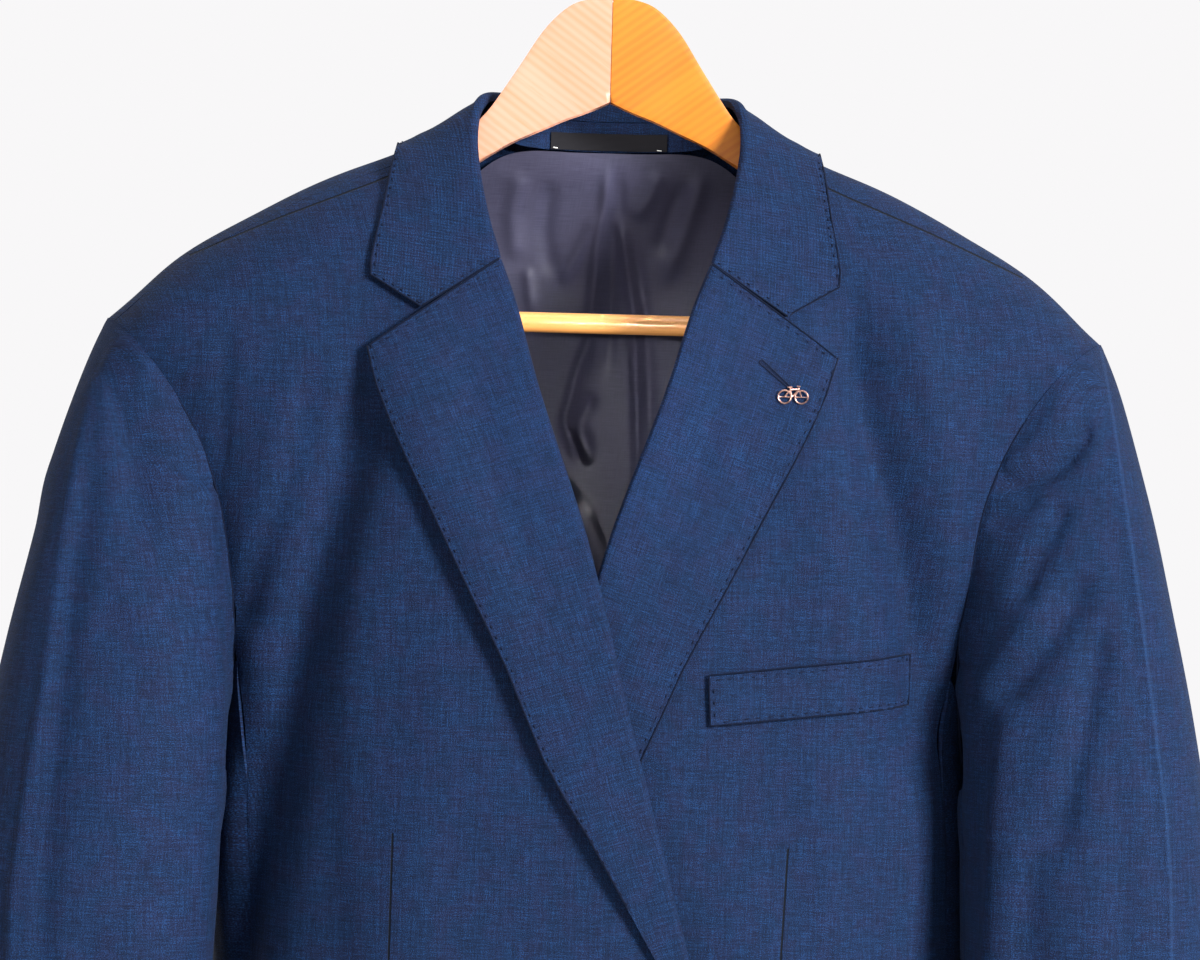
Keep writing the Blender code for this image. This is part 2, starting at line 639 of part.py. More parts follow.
def collar_line(side, station):
    """One section of the collar: stand, fold and leaf."""
    at = {name: COLLAR.at(-station, name) for name in COLLAR.names}
    fold = Vector((at["fold_x"], at["fold_y"], at["fold_z"]))
    edge = Vector((at["edge_x"], at["edge_y"], at["edge_z"]))
    if station <= 5:
        flat = lapel_line(1, Vector((fold.x, 0, fold.z)), Vector((edge.x, 0, edge.z)),
                          ROLL_RADIUS, lambda x, z: panel_y(side, x, z))
    if station <= 4:
        return [Vector((side * p.x, p.y, p.z)) for p in flat]
    turn = math.radians(at["turn"])
    inner = Vector((-math.sin(turn), math.cos(turn), 0))
    down = (edge - fold)
    down = (down - inner * down.dot(inner)).normalized()
    centre = fold + down * ROLL_RADIUS
    line = []
    for step in range(FOLD_STEPS + 1):
        angle = math.radians(-90 + 180 * step / FOLD_STEPS)
        p = centre - down * (ROLL_RADIUS * math.cos(angle)) - inner * (ROLL_RADIUS * math.sin(angle))
        if step == 0:
            p = p + down * at["stand"]
        line.append(p)
    start = line[-1]
    reach = (edge - start).length
    pull = start + down * (0.45 * reach) - inner * (0.04 * reach)
    for step in range(1, LEAF_STEPS + 1):
        t = step / LEAF_STEPS
        p = start * (1 - t) ** 2 + pull * (2 * t * (1 - t)) + edge * t * t
        line.append(clear_of_body(p, COLLAR_LIFT))
    if station <= 5:
        line = [a.lerp(b, 0.5) for a, b in zip(line, flat)]
    return [Vector((side * p.x, p.y, p.z)) for p in line]


def make_collar(cloth):
    half = [collar_line(-1, k) for k in range(COLLAR_STATIONS + 1)]
    other = [collar_line(1, k) for k in range(COLLAR_STATIONS)]
    cloth_wall("collar", half + other[::-1], CLOTH, cloth, inward=1)


# ---- inside the neck -----------------------------------------------------------------
def neck_path(share):
    """Bottom of the collar's stand round the back of the neck, -1 to 1 across."""
    station = COLLAR_STATIONS - 4.6 * abs(share)
    low = math.floor(station)
    a, b = collar_line(1, low)[0], collar_line(1, min(low + 1, COLLAR_STATIONS))[0]
    p = a.lerp(b, station - low)
    return Vector((math.copysign(p.x, share), p.y, p.z))


FACING_DEPTH = 15.5


def make_neck_facing(cloth, label_cloth):
    rows = []
    for down in (0.0, 0.5, 1.0):
        line = []
        for share in spread(20):
            p = neck_path(2 * share - 1)
            line.append(p + Vector((0, -1.2 + 1.0 * down, -0.4 - FACING_DEPTH * down)))
        rows.append(line)
    cloth_wall("neck_facing", rows, 1.2, cloth, inward=1)
    surface = BVHTree.FromPolygons([p for line in rows for p in line],
                                   [(i * 21 + j, i * 21 + j + 1, i * 21 + j + 22, i * 21 + j + 21)
                                    for i in range(2) for j in range(20)])
    label = []
    for z in (-127.0, -131.5, -136.0):
        line = []
        for share in spread(8):
            x = blend(-30.5, 30.5, share)
            hit = surface.ray_cast(Vector((x, -200, z)), Vector((0, 1, 0)))[0]
            line.append(Vector((x, hit.y - 1.1, z)))
        label.append(line)
    cloth_wall("label", label, 0.7, label_cloth, inward=1)


def make_lining(lining):
    """Back lining, from the facing down behind the trouser bar to just above the hem."""
    rows = []
    steps = (0, 0.03, 0.07, 0.12, 0.18, 0.27, 0.38, 0.54, 0.76, 1.0)
    for down in steps:
        line = []
        for share in spread(14):
            x = blend(-150, 150, share)
            aside = min(max((abs(x) - 45) / 35, 0.0), 1.0)
            top_z = blend(-139.9, shoulder_z(x) - 34, aside)
            z = blend(top_z, HEM_Z + 22, down)
            near = min(max((z + 215) / 70, 0.0), 1.0)
            push = panel_push(1, -1 if x < 0 else 1, abs(x), z)
            y = back_y(x, z) + min(push, 0.0) - blend(8.0, 11.0, near * max(0.0, 1 - abs(x) / 90))
            line.append(Vector((x, y, z)))
        rows.append(line)
    cloth_wall("lining_back", rows, LINING, lining, inward=1)


# ---- pockets, buttons, pin -----------------------------------------------------------
def panel_patch(name, side, corners, lift, thickness, material, wide=10, high=3):
    """A piece laid on a front, moved out by lift: corners are top left, top right,
    bottom right and bottom left as (x, z)."""
    tl, tr, br, bl = [Vector(c) for c in corners]
    rows = []
    for down in spread(high):
        line = []
        for share in spread(wide):
            p = tl.lerp(bl, down).lerp(tr.lerp(br, down), share)
            line.append(Vector((p.x, panel_y(side, abs(p.x), p.y), p.y)))
        rows.append(line)
    normals = grid_normals(rows)
    rows = [[p - n * lift for p, n in zip(line, beside)] for line, beside in zip(rows, normals)]
    return cloth_wall(name, rows, thickness, material, inward=1)


def flap_grid(side, wide=12, high=4):
    """Flap pocket on the hip: it follows the body round to the side."""
    rows = []
    for down in spread(high):
        line = []
        for share in spread(wide):
            first, last = seam_angle(72, -690), 74
            angle = blend(first, last, share)
            corner = 7 * (max(0.0, 1 - min(share, 1 - share) / 0.07)) ** 2 * down
            z = -690 - 3 * share - (54 - corner) * down
            p = ring_point(angle, z)
            out = Vector((p.x / BODY.at(z, "half_width") ** 2, p.y / BODY.at(z, "front") ** 2, 0))
            p = p + out.normalized() * 3.0
            p.y += (-OVERLAP_LIFT if side < 0 else OVERLAP_SINK) * overlap_weight(p.x, z)
            p.y -= panel_push(-1, side, p.x, z)
            line.append(Vector((side * p.x, p.y, p.z)))
        rows.append(line)
    return rows


def turned_button(name, centre, outward, diameter, material):
    """Sewn button: a dished disc with a raised rim, on a round shank of thread."""
    radius = diameter / 2
    profile = [(0.0, 0.5), (0.15 * radius, 0.5), (0.15 * radius, 1.2), (0.8 * radius, 1.2),
               (radius, 2.4), (0.88 * radius, 3.6), (0.62 * radius, 2.8), (0.0, 2.8)]
    sides = 14
    axis = outward.normalized()
    u = axis.orthogonal().normalized()
    v = axis.cross(u)
    points, faces = [], []
    rings = profile[1:-1]
    points.append(centre + axis * profile[0][1])
    for r, h in rings:
        for k in range(sides):
            a = 2 * math.pi * k / sides
            points.append(centre + axis * h + (u * math.cos(a) + v * math.sin(a)) * r)
    points.append(centre + axis * profile[-1][1])
    last = len(points) - 1
    for k in range(sides):
        n = (k + 1) % sides
        faces.append((0, 1 + n, 1 + k))
        for i in range(len(rings) - 1):
            a = 1 + i * sides
            faces.append((a + k, a + n, a + sides + n, a + sides + k))
        a = 1 + (len(rings) - 1) * sides
        faces.append((a + k, a + n, last))
    return make_object(name, points, faces, material)


def make_buttons(horn):
    for k, z in enumerate((-604, -704)):
        x = -44.0
        centre = Vector((-x, panel_y(-1, abs(x), z), z))
        turned_button(f"button_front_{k + 1}", centre, Vector((0, -1, 0)), BUTTON_FRONT, horn)
    for hand, side in (("left", -1), ("right", 1)):
        for k in range(4):
            z = CUFF_Z + 34 + 17 * k
            p = sleeve_section(0.735, z)
            ahead = sleeve_section(0.745, z) - sleeve_section(0.725, z)
            out = Vector((-ahead.y, ahead.x, 0)).normalized()
            if out.y < 0:
                out = -out
            centre = Vector((side * p.x, p.y, p.z))
            turned_button(f"button_{hand}_{k + 1}", centre, Vector((side * out.x, out.y, 0)),
                          BUTTON_CUFF, horn)


def tube(path, radius, sides=8, closed=False):
    """Points and faces of a round bar along a path."""
    points, faces = [], []
    count = len(path)
    side_dir = None
    for i, p in enumerate(path):
        ahead = path[(i + 1) % count] if closed or i < count - 1 else p
        behind = path[i - 1] if closed or i > 0 else p
        axis = (ahead - behind).normalized()
        side_dir = axis.orthogonal() if side_dir is None else side_dir
        u = (side_dir - axis * side_dir.dot(axis)).normalized()
        side_dir = u
        v = axis.cross(u)
        for k in range(sides):
            a = 2 * math.pi * k / sides
            points.append(p + (u * math.cos(a) + v * math.sin(a)) * radius)
    for i in range(count if closed else count - 1):
        a, b = i * sides, ((i + 1) % count) * sides
        for k in range(sides):
            n = (k + 1) % sides
            faces.append((a + k, a + n, b + n, b + k))
    if not closed:
        faces.append(tuple(range(sides))[::-1])
        faces.append(tuple((count - 1) * sides + k for k in range(sides)))
    return points, faces


def join_bodies(name, bodies, material):
    """Boolean union of overlapping bodies into one."""
    first = make_object(name, *bodies[0], material)
    for k, body in enumerate(bodies[1:]):
        other = make_object(f"cutter_{name}_{k}", *body, material)
        other.hide_render = True
        other.display_type = "WIRE"
        step = first.modifiers.new(f"union_{k}", "BOOLEAN")
        step.operation = "UNION"
        step.solver = "EXACT"
        step.object = other
    return first


def make_pin(metal):
    """Small bicycle pin on the lapel: two wheels, a plain diamond frame, bar and saddle."""
    middle = Vector((95.8, 0, -263.3))
    top_y = panel_y(1, middle.x, middle.z) - LEAF_LIFT - 2.6
    wheel, wire, base = 3.3, 0.42, 4.2

    def place(x, z):
        return middle + Vector((x, top_y, z))

    def ring(x):
        return [place(x + wheel * math.cos(a), -1.4 + wheel * math.sin(a))
                for a in [2 * math.pi * k / 16 for k in range(16)]]

    rear, front = (-base, -1.4), (base, -1.4)
    crank, seat, head = (-0.7, -1.6), (-1.5, 2.2), (2.9, 2.5)
    bars = [(rear, crank), (rear, seat), (crank, (-1.7, 3.3)), (crank, head), (seat, head),
            ((2.5, 3.7), front), ((-2.9, 3.4), (-0.6, 3.5)), ((1.7, 4.0), (3.6, 3.8))]
    bodies = [tube(ring(-base), wire, 5, closed=True), tube(ring(base), wire, 5, closed=True)]
    spread_out = [0.0, 0.05, -0.05, 0.08, -0.08, 0.03, 0.06, -0.06]
    spokes = [((-base - wheel, -1.4), (-base + wheel, -1.4)),
              ((base - wheel, -1.4), (base + wheel, -1.4))]
    for k, (a, b) in enumerate(bars + spokes):
        shift = Vector((0, spread_out[k % len(spread_out)], 0))
        thick = wire if k < len(bars) else 0.6 * wire
        bodies.append(tube([place(*a) + shift, place(*b) + shift], thick, 5))
    join_bodies("lapel_pin", bodies, metal)


# ---- hanger --------------------------------------------------------------------------
def arm_section(side, x):
    """Rounded section of a hanger arm at x, in a plane across the arm."""
    top, bottom = ARM.at(-x, "top"), ARM.at(-x, "bottom")
    half_high, half_thick = (top - bottom) / 2, ARM.at(-x, "thick") / 2
    round_off = min(3.0, half_high * 0.6, half_thick * 0.6)
    middle = Vector((x, ARM.at(-x, "middle_y"), (top + bottom) / 2))
    points = []
    for qy, qz, start in ((1, 1, 0), (-1, 1, 90), (-1, -1, 180), (1, -1, 270)):
        for step in (0, 45, 90):
            a = math.radians(start + step)
            points.append(middle + Vector((0, qy * (half_thick - round_off) + round_off * math.cos(a),
                                           qz * (half_high - round_off) + round_off * math.sin(a))))
    return [Vector((side * p.x, p.y, p.z)) for p in points]


def make_arms(wood):
    stations = [-row[0] for row in ARM.rows]
    for name, side in (("hanger_arm_left", -1), ("hanger_arm_right", 1)):
        points, faces = [], []
        for x in stations:
            points += arm_section(side, x)
        ring = 12
        for i in range(len(stations) - 1):
            for k in range(ring):
                n = (k + 1) % ring
                faces.append((i * ring + k, i * ring + n, (i + 1) * ring + n, (i + 1) * ring + k))
        faces.append(tuple(range(ring)))
        faces.append(tuple((len(stations) - 1) * ring + k for k in range(ring)))
        make_object(name, points, faces, wood)


def make_bar(wood):
    reach = 170.5
    steps = 4
    path = [Vector((blend(-reach, reach, k / steps), -17.5, BAR_Z)) for k in range(steps + 1)]
    make_object("trouser_bar", *tube(path, BAR_DIAMETER / 2, 14), wood)


def make_hook(steel):
    radius = HOOK_INSIDE_RADIUS + HOOK_WIRE / 2
    path = [Vector((0, 0, -60.0)), Vector((0, 0, -54)), Vector((0, 0, -49)),
            Vector((2.2, 0, -44.6)), Vector((7.0, 0, -40.4)), Vector((12.2, 0, -36.0))]
    centre = Vector((0, 0, -HOOK_INSIDE_RADIUS))
    for k in range(21):
        a = math.radians(-38 + 11.6 * k)
        path.append(centre + Vector((math.cos(a), 0, math.sin(a))) * radius)
    make_object("hook", *tube(path, HOOK_WIRE / 2, 10), steel)


# ---- the whole part ------------------------------------------------------------------
def main():
    clear_scene()
    cloth = paint("suit_cloth", (0.023, 0.055, 0.16), 0.75)
    lining = paint("lining_satin", (0.045, 0.043, 0.055), 0.4)
    label_cloth = paint("label_black", (0.012, 0.012, 0.015), 0.6)
    wood = paint("hanger_wood", (0.78, 0.47, 0.18), 0.32)
    steel = paint("hook_steel", (0.6, 0.6, 0.6), 0.3, 1.0)
    horn = paint("button_navy", (0.015, 0.025, 0.06), 0.35)
    rose_gold = paint("pin_metal", (0.72, 0.42, 0.32), 0.25, 1.0)

    make_fronts(cloth)
    make_backs(cloth)
    make_sides(cloth)
    make_sleeves(cloth)
    make_lapels(cloth)
    make_collar(cloth)
    make_neck_facing(cloth, label_cloth)
    make_lining(lining)
    panel_patch("breast_welt", 1, WELT_CORNERS, WELT_LIFT, WELT_CLOTH, cloth)
    for name, side in (("flap_left", -1), ("flap_right", 1)):
        cloth_wall(name, flap_grid(side), 2.0, cloth, inward=side)
    make_buttons(horn)
    make_pin(rose_gold)
    make_arms(wood)
    make_bar(wood)
    make_hook(steel)


main()
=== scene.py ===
# %% [markdown]
# A men's suit jacket hanging open on a wooden hanger. The imported model is a frame of
# solids that is never changed: each cloth panel is a plain closed wall. Here every solid
# gets its finish. A panel's wall is copied, made smooth, draped with the creases that a
# jacket takes on a hanger, and given a woven cloth. Loading the frame comes first.

# %% Load the frame
import json
import math

import bmesh
import bpy
import numpy as np
from mathutils import Matrix, Vector
from mathutils.bvhtree import BVHTree
from mathutils.kdtree import KDTree

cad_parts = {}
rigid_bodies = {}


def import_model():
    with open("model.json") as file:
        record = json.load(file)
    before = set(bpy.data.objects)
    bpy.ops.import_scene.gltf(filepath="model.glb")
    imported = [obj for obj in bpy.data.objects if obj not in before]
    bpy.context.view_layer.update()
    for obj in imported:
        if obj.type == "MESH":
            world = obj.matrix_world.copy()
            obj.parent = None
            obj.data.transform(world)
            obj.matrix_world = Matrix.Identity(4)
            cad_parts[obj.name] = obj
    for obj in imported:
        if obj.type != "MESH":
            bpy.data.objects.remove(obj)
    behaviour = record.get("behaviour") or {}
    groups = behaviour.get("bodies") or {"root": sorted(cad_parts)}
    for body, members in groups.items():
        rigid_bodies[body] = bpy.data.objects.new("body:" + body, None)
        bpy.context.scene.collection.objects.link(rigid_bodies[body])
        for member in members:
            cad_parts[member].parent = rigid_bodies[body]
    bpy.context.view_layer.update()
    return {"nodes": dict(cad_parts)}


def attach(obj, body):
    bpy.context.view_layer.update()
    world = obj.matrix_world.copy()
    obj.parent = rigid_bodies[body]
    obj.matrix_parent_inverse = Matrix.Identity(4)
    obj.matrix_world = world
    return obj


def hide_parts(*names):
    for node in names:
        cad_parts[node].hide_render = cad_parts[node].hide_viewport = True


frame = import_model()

MM = 0.001

# %% [markdown]
# A material is a graph of nodes. Written node by node it soon fills pages, so one small
# class wraps a socket: arithmetic on two of them adds the Math node that does it, and
# `node` adds any other kind. Settings are made first, because some of them change which
# sockets a node has.


# %% A socket that understands arithmetic
GENERATED, UV_MAP, OBJECT = 0, 2, 3    # outputs of the texture coordinate node


class Wire:
    """One output socket in a material's tree, or the tree alone."""

    def __init__(self, tree, socket=None):
        self.tree, self.socket = tree, socket

    def node(self, kind, settings=(), links=(), out=0):
        """Adds a node, its settings first, then values or links for its sockets."""
        new = self.tree.nodes.new("ShaderNode" + kind)
        for name, value in dict(settings).items():
            setattr(new, name, value)
        for name, value in dict(links).items():
            if isinstance(value, Wire):
                self.tree.links.new(value.socket, new.inputs[name])
            else:
                new.inputs[name].default_value = value
        return Wire(self.tree, new.outputs[out] if new.outputs else None)

    def maths(self, operation, first, second=0.0):
        return self.node("Math", {"operation": operation}, {0: first, 1: second})

    def __add__(self, other):
        return self.maths("ADD", self, other)

    def __sub__(self, other):
        return self.maths("SUBTRACT", self, other)

    def __rsub__(self, other):
        return self.maths("SUBTRACT", other, self)

    def __mul__(self, other):
        return self.maths("MULTIPLY", self, other)

    def limit(self, low, high):
        """Clamped between two numbers."""
        return self.maths("MINIMUM", self.maths("MAXIMUM", self, low), high)

    def fade(self, start, end):
        """Smoothly from 0 at start to 1 at end."""
        return self.node("MapRange", {"interpolation_type": "SMOOTHSTEP"},
                         {"Value": self, "From Min": start, "From Max": end})

    def mix(self, first, second):
        """Colour between first and second, by this value."""
        return self.node("Mix", {"data_type": "RGBA"}, {0: self, 6: first, 7: second}, out=2)

    def mapped(self, scale=(1, 1, 1), rotation=(0, 0, 0)):
        """A place scaled and turned, in radians."""
        return self.node("Mapping", links={"Vector": self, "Rotation": rotation, "Scale": scale})

    def parts(self):
        """The x, y and z of a vector, as three wires."""
        split = self.tree.nodes.new("ShaderNodeSeparateXYZ")
        self.tree.links.new(self.socket, split.inputs[0])
        return [Wire(self.tree, socket) for socket in split.outputs]

    def bump(self, strength, deep):
        """A normal that follows this height, which is deep millimetres high."""
        return self.node("Bump", links={"Height": self, "Strength": strength,
                                        "Distance": deep * MM})


def new_material(name):
    """An empty material and the wire that adds nodes to it."""
    material = bpy.data.materials.new(name)
    material.use_nodes = True
    material.node_tree.nodes.clear()
    return material, Wire(material.node_tree)


def finish_with(wire, **sockets):
    """Ends a material with its shader and output."""
    links = {name.replace("_", " "): value for name, value in sockets.items()}
    shader = wire.node("BsdfPrincipled", links=links)
    wire.node("OutputMaterial", links={"Surface": shader})


def rgb(red, green, blue):
    """A colour given as it looks on a screen, 0 to 255, in the light values of a shader."""
    def linear(level):
        share = level / 255
        return share / 12.92 if share <= 0.04045 else ((share + 0.055) / 1.055) ** 2.4
    return (linear(red), linear(green), linear(blue), 1.0)


print("mid grey on a screen is light of", round(rgb(128, 128, 128)[0], 3))

# %% [markdown]
# The suit cloth is a fine sharkskin: dark and lighter blue threads cross in both
# directions, and uneven yarns leave short streaks along the warp and the weft. The
# pattern has to follow each panel as it was cut, so it reads the panel's own UV map,
# measured in metres on the cloth, and not the room. Noise stretched along one axis gives
# the yarns, and a finer noise the crossings. The turn lays the grain of a lapel, which is
# cut on its own straight grain and then folded over. Darts, shoulder seams and the crease
# pressed into a sleeve are lines, drawn where a point of the cloth lies close to them. The
# darts and seams are darkened in colour as painted shade of their grooves, next to a real
# groove in the bump, and the crease is lightened as a painted highlight along its ridge.

# %% The suit cloth
NAVY, MID_BLUE, PALE_BLUE = rgb(4, 14, 35), rgb(9, 29, 58), rgb(20, 50, 90)
PLUM = rgb(17, 28, 57)
# The first colour is painted shade on dart and seam lines, the second a painted highlight on the
# sleeve crease.
SEAM_SHADE, CREASE_HIGHLIGHT = rgb(2, 6, 15), rgb(48, 82, 130)
SEAM_LINE, CREASE_LINE = (0.25, 0.75), (0.1, 1.6)    # mm from full to nothing
# The crease share is how much of the painted highlight lightens the crease.
SEAM_DEEP, CREASE_HIGHLIGHT_SHARE = 4.0, 0.12
EYE_SIZE = 1.1 * MM
FRONT_FADE = -14 * MM, -10 * MM    # drawn lines end between these depths


def yarns(wire, place, across, along, detail=2.0):
    """Noise drawn out into streaks, in millimetres across and along them."""
    cells = place.mapped((1 / (across * MM), 1 / (along * MM), 1))
    return wire.node("TexNoise", {"noise_dimensions": "2D"},
                     {"Vector": cells, "Scale": 1.0, "Detail": detail, "Roughness": 0.6})


def suit_cloth(name, turn=0.0, birdseye=0.0, seams=(), creases=()):
    """Woven wool: turn is the grain's slant in degrees, birdseye how strongly the small
    diagonal pattern of the collar shows. Each seam is a sewn line ((x, z), (x, z)), darkened
    as painted shade of its groove, and each crease a pressed one, lightened as a painted
    highlight along its ridge."""
    material, wire = new_material(name)
    place = wire.node("TexCoord", out=UV_MAP).mapped(rotation=(0, 0, math.radians(turn)))
    warp = yarns(wire, place, 0.7, 9.0) * 0.6 + yarns(wire, place, 1.6, 40.0) * 0.4
    weft = yarns(wire, place, 7.0, 0.7) * 0.65 + yarns(wire, place, 34.0, 1.5) * 0.35
    crossing = yarns(wire, place, 0.5, 0.5, 1.0)
    check = place.mapped((1 / EYE_SIZE, 1 / EYE_SIZE, 1), (0, 0, math.radians(45)))
    eyes = wire.node("TexChecker", links={"Vector": check, "Scale": 1.0,
                                          "Color1": (1, 1, 1, 1), "Color2": (0, 0, 0, 1)}, out=1)
    weave = (warp - 0.5) + (weft - 0.5) * 1.15 + (crossing - 0.5) * 1.7 + 0.5
    weave = (weave + (eyes - 0.5) * birdseye).limit(0.0, 1.0)
    cast = yarns(wire, place, 14.0, 14.0, 1.0).fade(0.35, 0.7)
    light = weave.fade(0.55, 1.0).mix(cast.mix(MID_BLUE, PLUM), PALE_BLUE)
    colour = weave.fade(0.0, 0.62).mix(NAVY, light)
    relief = weave
    if seams:
        # Painted shade: the seam lines are darkened in colour, beside a real groove in the bump.
        line = drawn_lines(wire, seams, *SEAM_LINE)
        colour = line.mix(colour, SEAM_SHADE)
        relief = weave - line * SEAM_DEEP
    if creases:
        # Painted highlight: the pressed crease is lightened in colour along its ridge.
        line = drawn_lines(wire, creases, *CREASE_LINE)
        colour = (line * CREASE_HIGHLIGHT_SHARE).mix(colour, CREASE_HIGHLIGHT)
    finish_with(wire, Base_Color=colour, Roughness=0.82, Sheen_Weight=0.03,
                Sheen_Roughness=0.45, Sheen_Tint=rgb(150, 170, 215), Specular_IOR_Level=0.15,
                Normal=relief.bump(0.45, 0.3))
    return material


def drawn_lines(wire, lines, inner, outer):
    """Near 1 on thin lines between points (x, z) in millimetres, on the jacket's front."""
    x, y, z = wire.node("TexCoord", out=OBJECT).parts()
    total = None
    for (x1, z1), (x2, z2) in lines:
        x1, z1, x2, z2 = x1 * MM, z1 * MM, x2 * MM, z2 * MM
        long = math.hypot(x2 - x1, z2 - z1)
        ux, uz = (x2 - x1) / long, (z2 - z1) / long
        along = ((x - x1) * ux + (z - z1) * uz).limit(0.0, long)
        dx, dz = (x - x1) - along * ux, (z - z1) - along * uz
        away = wire.maths("SQRT", dx * dx + dz * dz)
        line = 1 - away.fade(inner * MM, outer * MM)
        total = line if total is None else wire.maths("MAXIMUM", total, line)
    return total * (1 - y.fade(*FRONT_FADE))


print("birdseye of", round(EYE_SIZE / MM, 2), "mm, seam lines up to", SEAM_LINE[1] * 2, "mm wide")

# %% [markdown]
# A jacket on a hanger is never smooth. Its weight hangs from the shoulders and the neck,
# so soft troughs and ridges run from there down the chest, the sleeves drag at the
# armhole, and each sleeve keeps a pressed ridge down its front. The folds are listed one by
# one: each is a path of points (x, z) in millimetres seen from the front, how deep it is
# (below zero a trough, above it a ridge) and how wide to either side. One field moves
# every piece of the body, so a pocket goes with its panel. It pushes the cloth straight
# out from an upright oval inside the body. Each sleeve has a field and an oval of its own,
# and lapels and collar a field that is stiffer.

# %% Where the folds lie
BODY_AXIS, BODY_ROUND = (0.0, 0.0), (200.0, 95.0)    # half width and half depth
SLEEVE_AXIS, SLEEVE_ROUND = (260.0, -44.0), (64.0, 64.0)    # the left sleeve mirrors it
BODY_TOP, SLEEVE_TOP, HANG_EASE = -150, -205, 50    # no folds above, all of them below
ALL_ROUND, FRONT, BACK = 0, -1, 1

BODY_FOLDS = [  # facing, depth, half widths to the left and right of the path, path
    (FRONT, -10.0, 13, 18, [
        (-112, -232), (-121, -262), (-128, -286), (-137, -318), (-148, -366), (-159, -419),
        (-170, -472), (-180, -522), (-185, -560), (-189, -640), (-186, -760), (-180, -860)]),
    (FRONT, -4.0, 8, 28, [(-168, -430), (-178, -490), (-186, -560), (-188, -660), (-184, -780)]),
    (FRONT, 2.0, 10, 22, [
        (-98, -276), (-107, -306), (-117, -347), (-121, -400), (-120, -453), (-115, -506),
        (-112, -560), (-112, -640)]),
    (FRONT, -5.0, 7, 12, [
        (-142, -246), (-150, -275), (-156, -301), (-164, -331), (-175, -360), (-180, -382),
        (-182, -396)]),
    (FRONT, -1.4, 5, 5, [(-190, -232), (-192, -267), (-193, -318)]),
    (FRONT, -10.0, 16, 11, [
        (118, -190), (128, -242), (136, -277), (147, -312), (159, -353), (167, -394), (173, -435),
        (176, -480)]),
    (FRONT, 4.0, 11, 14, [(146, -194), (165, -258), (176, -299), (180, -340), (182, -386)]),
    (FRONT, 1.4, 9, 12, [(120, -236), (131, -312), (142, -371), (148, -420)]),
    (FRONT, -1.0, 8, 8, [(146, -400), (150, -465), (153, -546), (154, -640)]),
    (FRONT, 1.2, 14, 14, [(112, -425), (122, -489), (125, -547), (128, -660)]),
    (FRONT, 0.9, 16, 16, [(-74, -380), (-84, -460), (-86, -560), (-84, -660)]),
    (FRONT, 1.5, 20, 20, [(70, -470), (84, -580), (92, -700), (88, -880)]),
    (FRONT, 1.5, 22, 22, [(-80, -560), (-96, -680), (-100, -880)]),
    (FRONT, -1.8, 16, 16, [(126, -690), (138, -810), (142, -912)]),
    (BACK, -5.0, 18, 14, [(-92, -170), (-98, -270), (-88, -380), (-80, -520), (-78, -600)]),
    (BACK, -4.4, 14, 18, [(96, -176), (104, -280), (92, -400), (86, -520), (84, -620)]),
    (BACK, 3.2, 18, 18, [(-128, -210), (-136, -330), (-126, -450), (-120, -540)]),
    (BACK, 3.4, 17, 17, [(134, -206), (140, -330), (128, -470), (122, -560)]),
    (BACK, -3.0, 14, 18, [(-40, -520), (-52, -680), (-60, -914)]),
    (BACK, -3.2, 18, 15, [(48, -500), (58, -700), (70, -914)]),
    (BACK, 2.4, 16, 16, [(6, -560), (2, -740), (-4, -914)]),
    (BACK, -2.4, 9, 9, [(-182, -320), (-160, -372), (-146, -440)]),
    (BACK, -2.5, 9, 9, [(180, -326), (158, -380), (148, -456)]),
]
RIGHT_CREASE = [(256, -236), (259, -259), (265, -309), (271, -351), (277, -396), (282, -435),
                (287, -467), (290, -501), (292, -560), (292, -650), (287, -760), (279, -875)]
LEFT_SLEEVE_FOLDS = [
    (ALL_ROUND, 4.5, 14, 14, [
        (-262, -212), (-270, -236), (-282, -268), (-291, -300), (-297, -340)]),
    (FRONT, -6.5, 8, 9, [
        (-249, -234), (-246, -262), (-239, -283), (-235, -303), (-231, -326), (-227, -356)]),
    (FRONT, -3.4, 5, 5, [(-236, -295), (-218, -306), (-206, -314), (-192, -322)]),
    (FRONT, 2.0, 5, 5, [(-229, -301), (-212, -317), (-195, -330)]),
    (FRONT, 2.0, 2.6, 2.6, [
        (-256, -236), (-260, -269), (-265, -304), (-269, -345), (-273, -386), (-276, -427),
        (-282, -474), (-287, -521), (-288, -640), (-284, -760), (-278, -875)]),
    (FRONT, -3.6, 7, 9, [
        (-253, -252), (-256, -309), (-261, -356), (-264, -409), (-268, -468), (-271, -520),
        (-272, -640), (-268, -760)]),
    (FRONT, 1.0, 6, 6, [(-247, -310), (-256, -380), (-260, -438), (-265, -497), (-267, -620)]),
    (FRONT, 1.2, 5, 5, [(-246, -356), (-233, -379), (-224, -398), (-212, -432)]),
    (FRONT, 1.0, 4, 4, [(-210, -380), (-206, -426)]),
    (FRONT, -2.6, 9, 9, [(-214, -500), (-236, -534), (-262, -556)]),
    (FRONT, -2.6, 9, 9, [(-216, -650), (-244, -628), (-274, -618)]),
    (FRONT, -2.0, 9, 9, [(-220, -750), (-246, -730), (-280, -722)]),
    (FRONT, 6.0, 38, 8, [
        (-214, -270), (-206, -320), (-200, -370), (-197, -430), (-198, -520), (-200, -640)]),
    (ALL_ROUND, 2.2, 12, 12, [(-196, -396), (-193, -430), (-193, -450), (-193, -500)]),
    (BACK, -3.4, 10, 10, [(-228, -316), (-252, -352), (-284, -366)]),
    (BACK, -3.2, 9, 9, [(-220, -530), (-252, -560), (-290, -562)]),
    (BACK, 1.8, 10, 10, [(-224, -586), (-256, -604), (-294, -600)]),
]
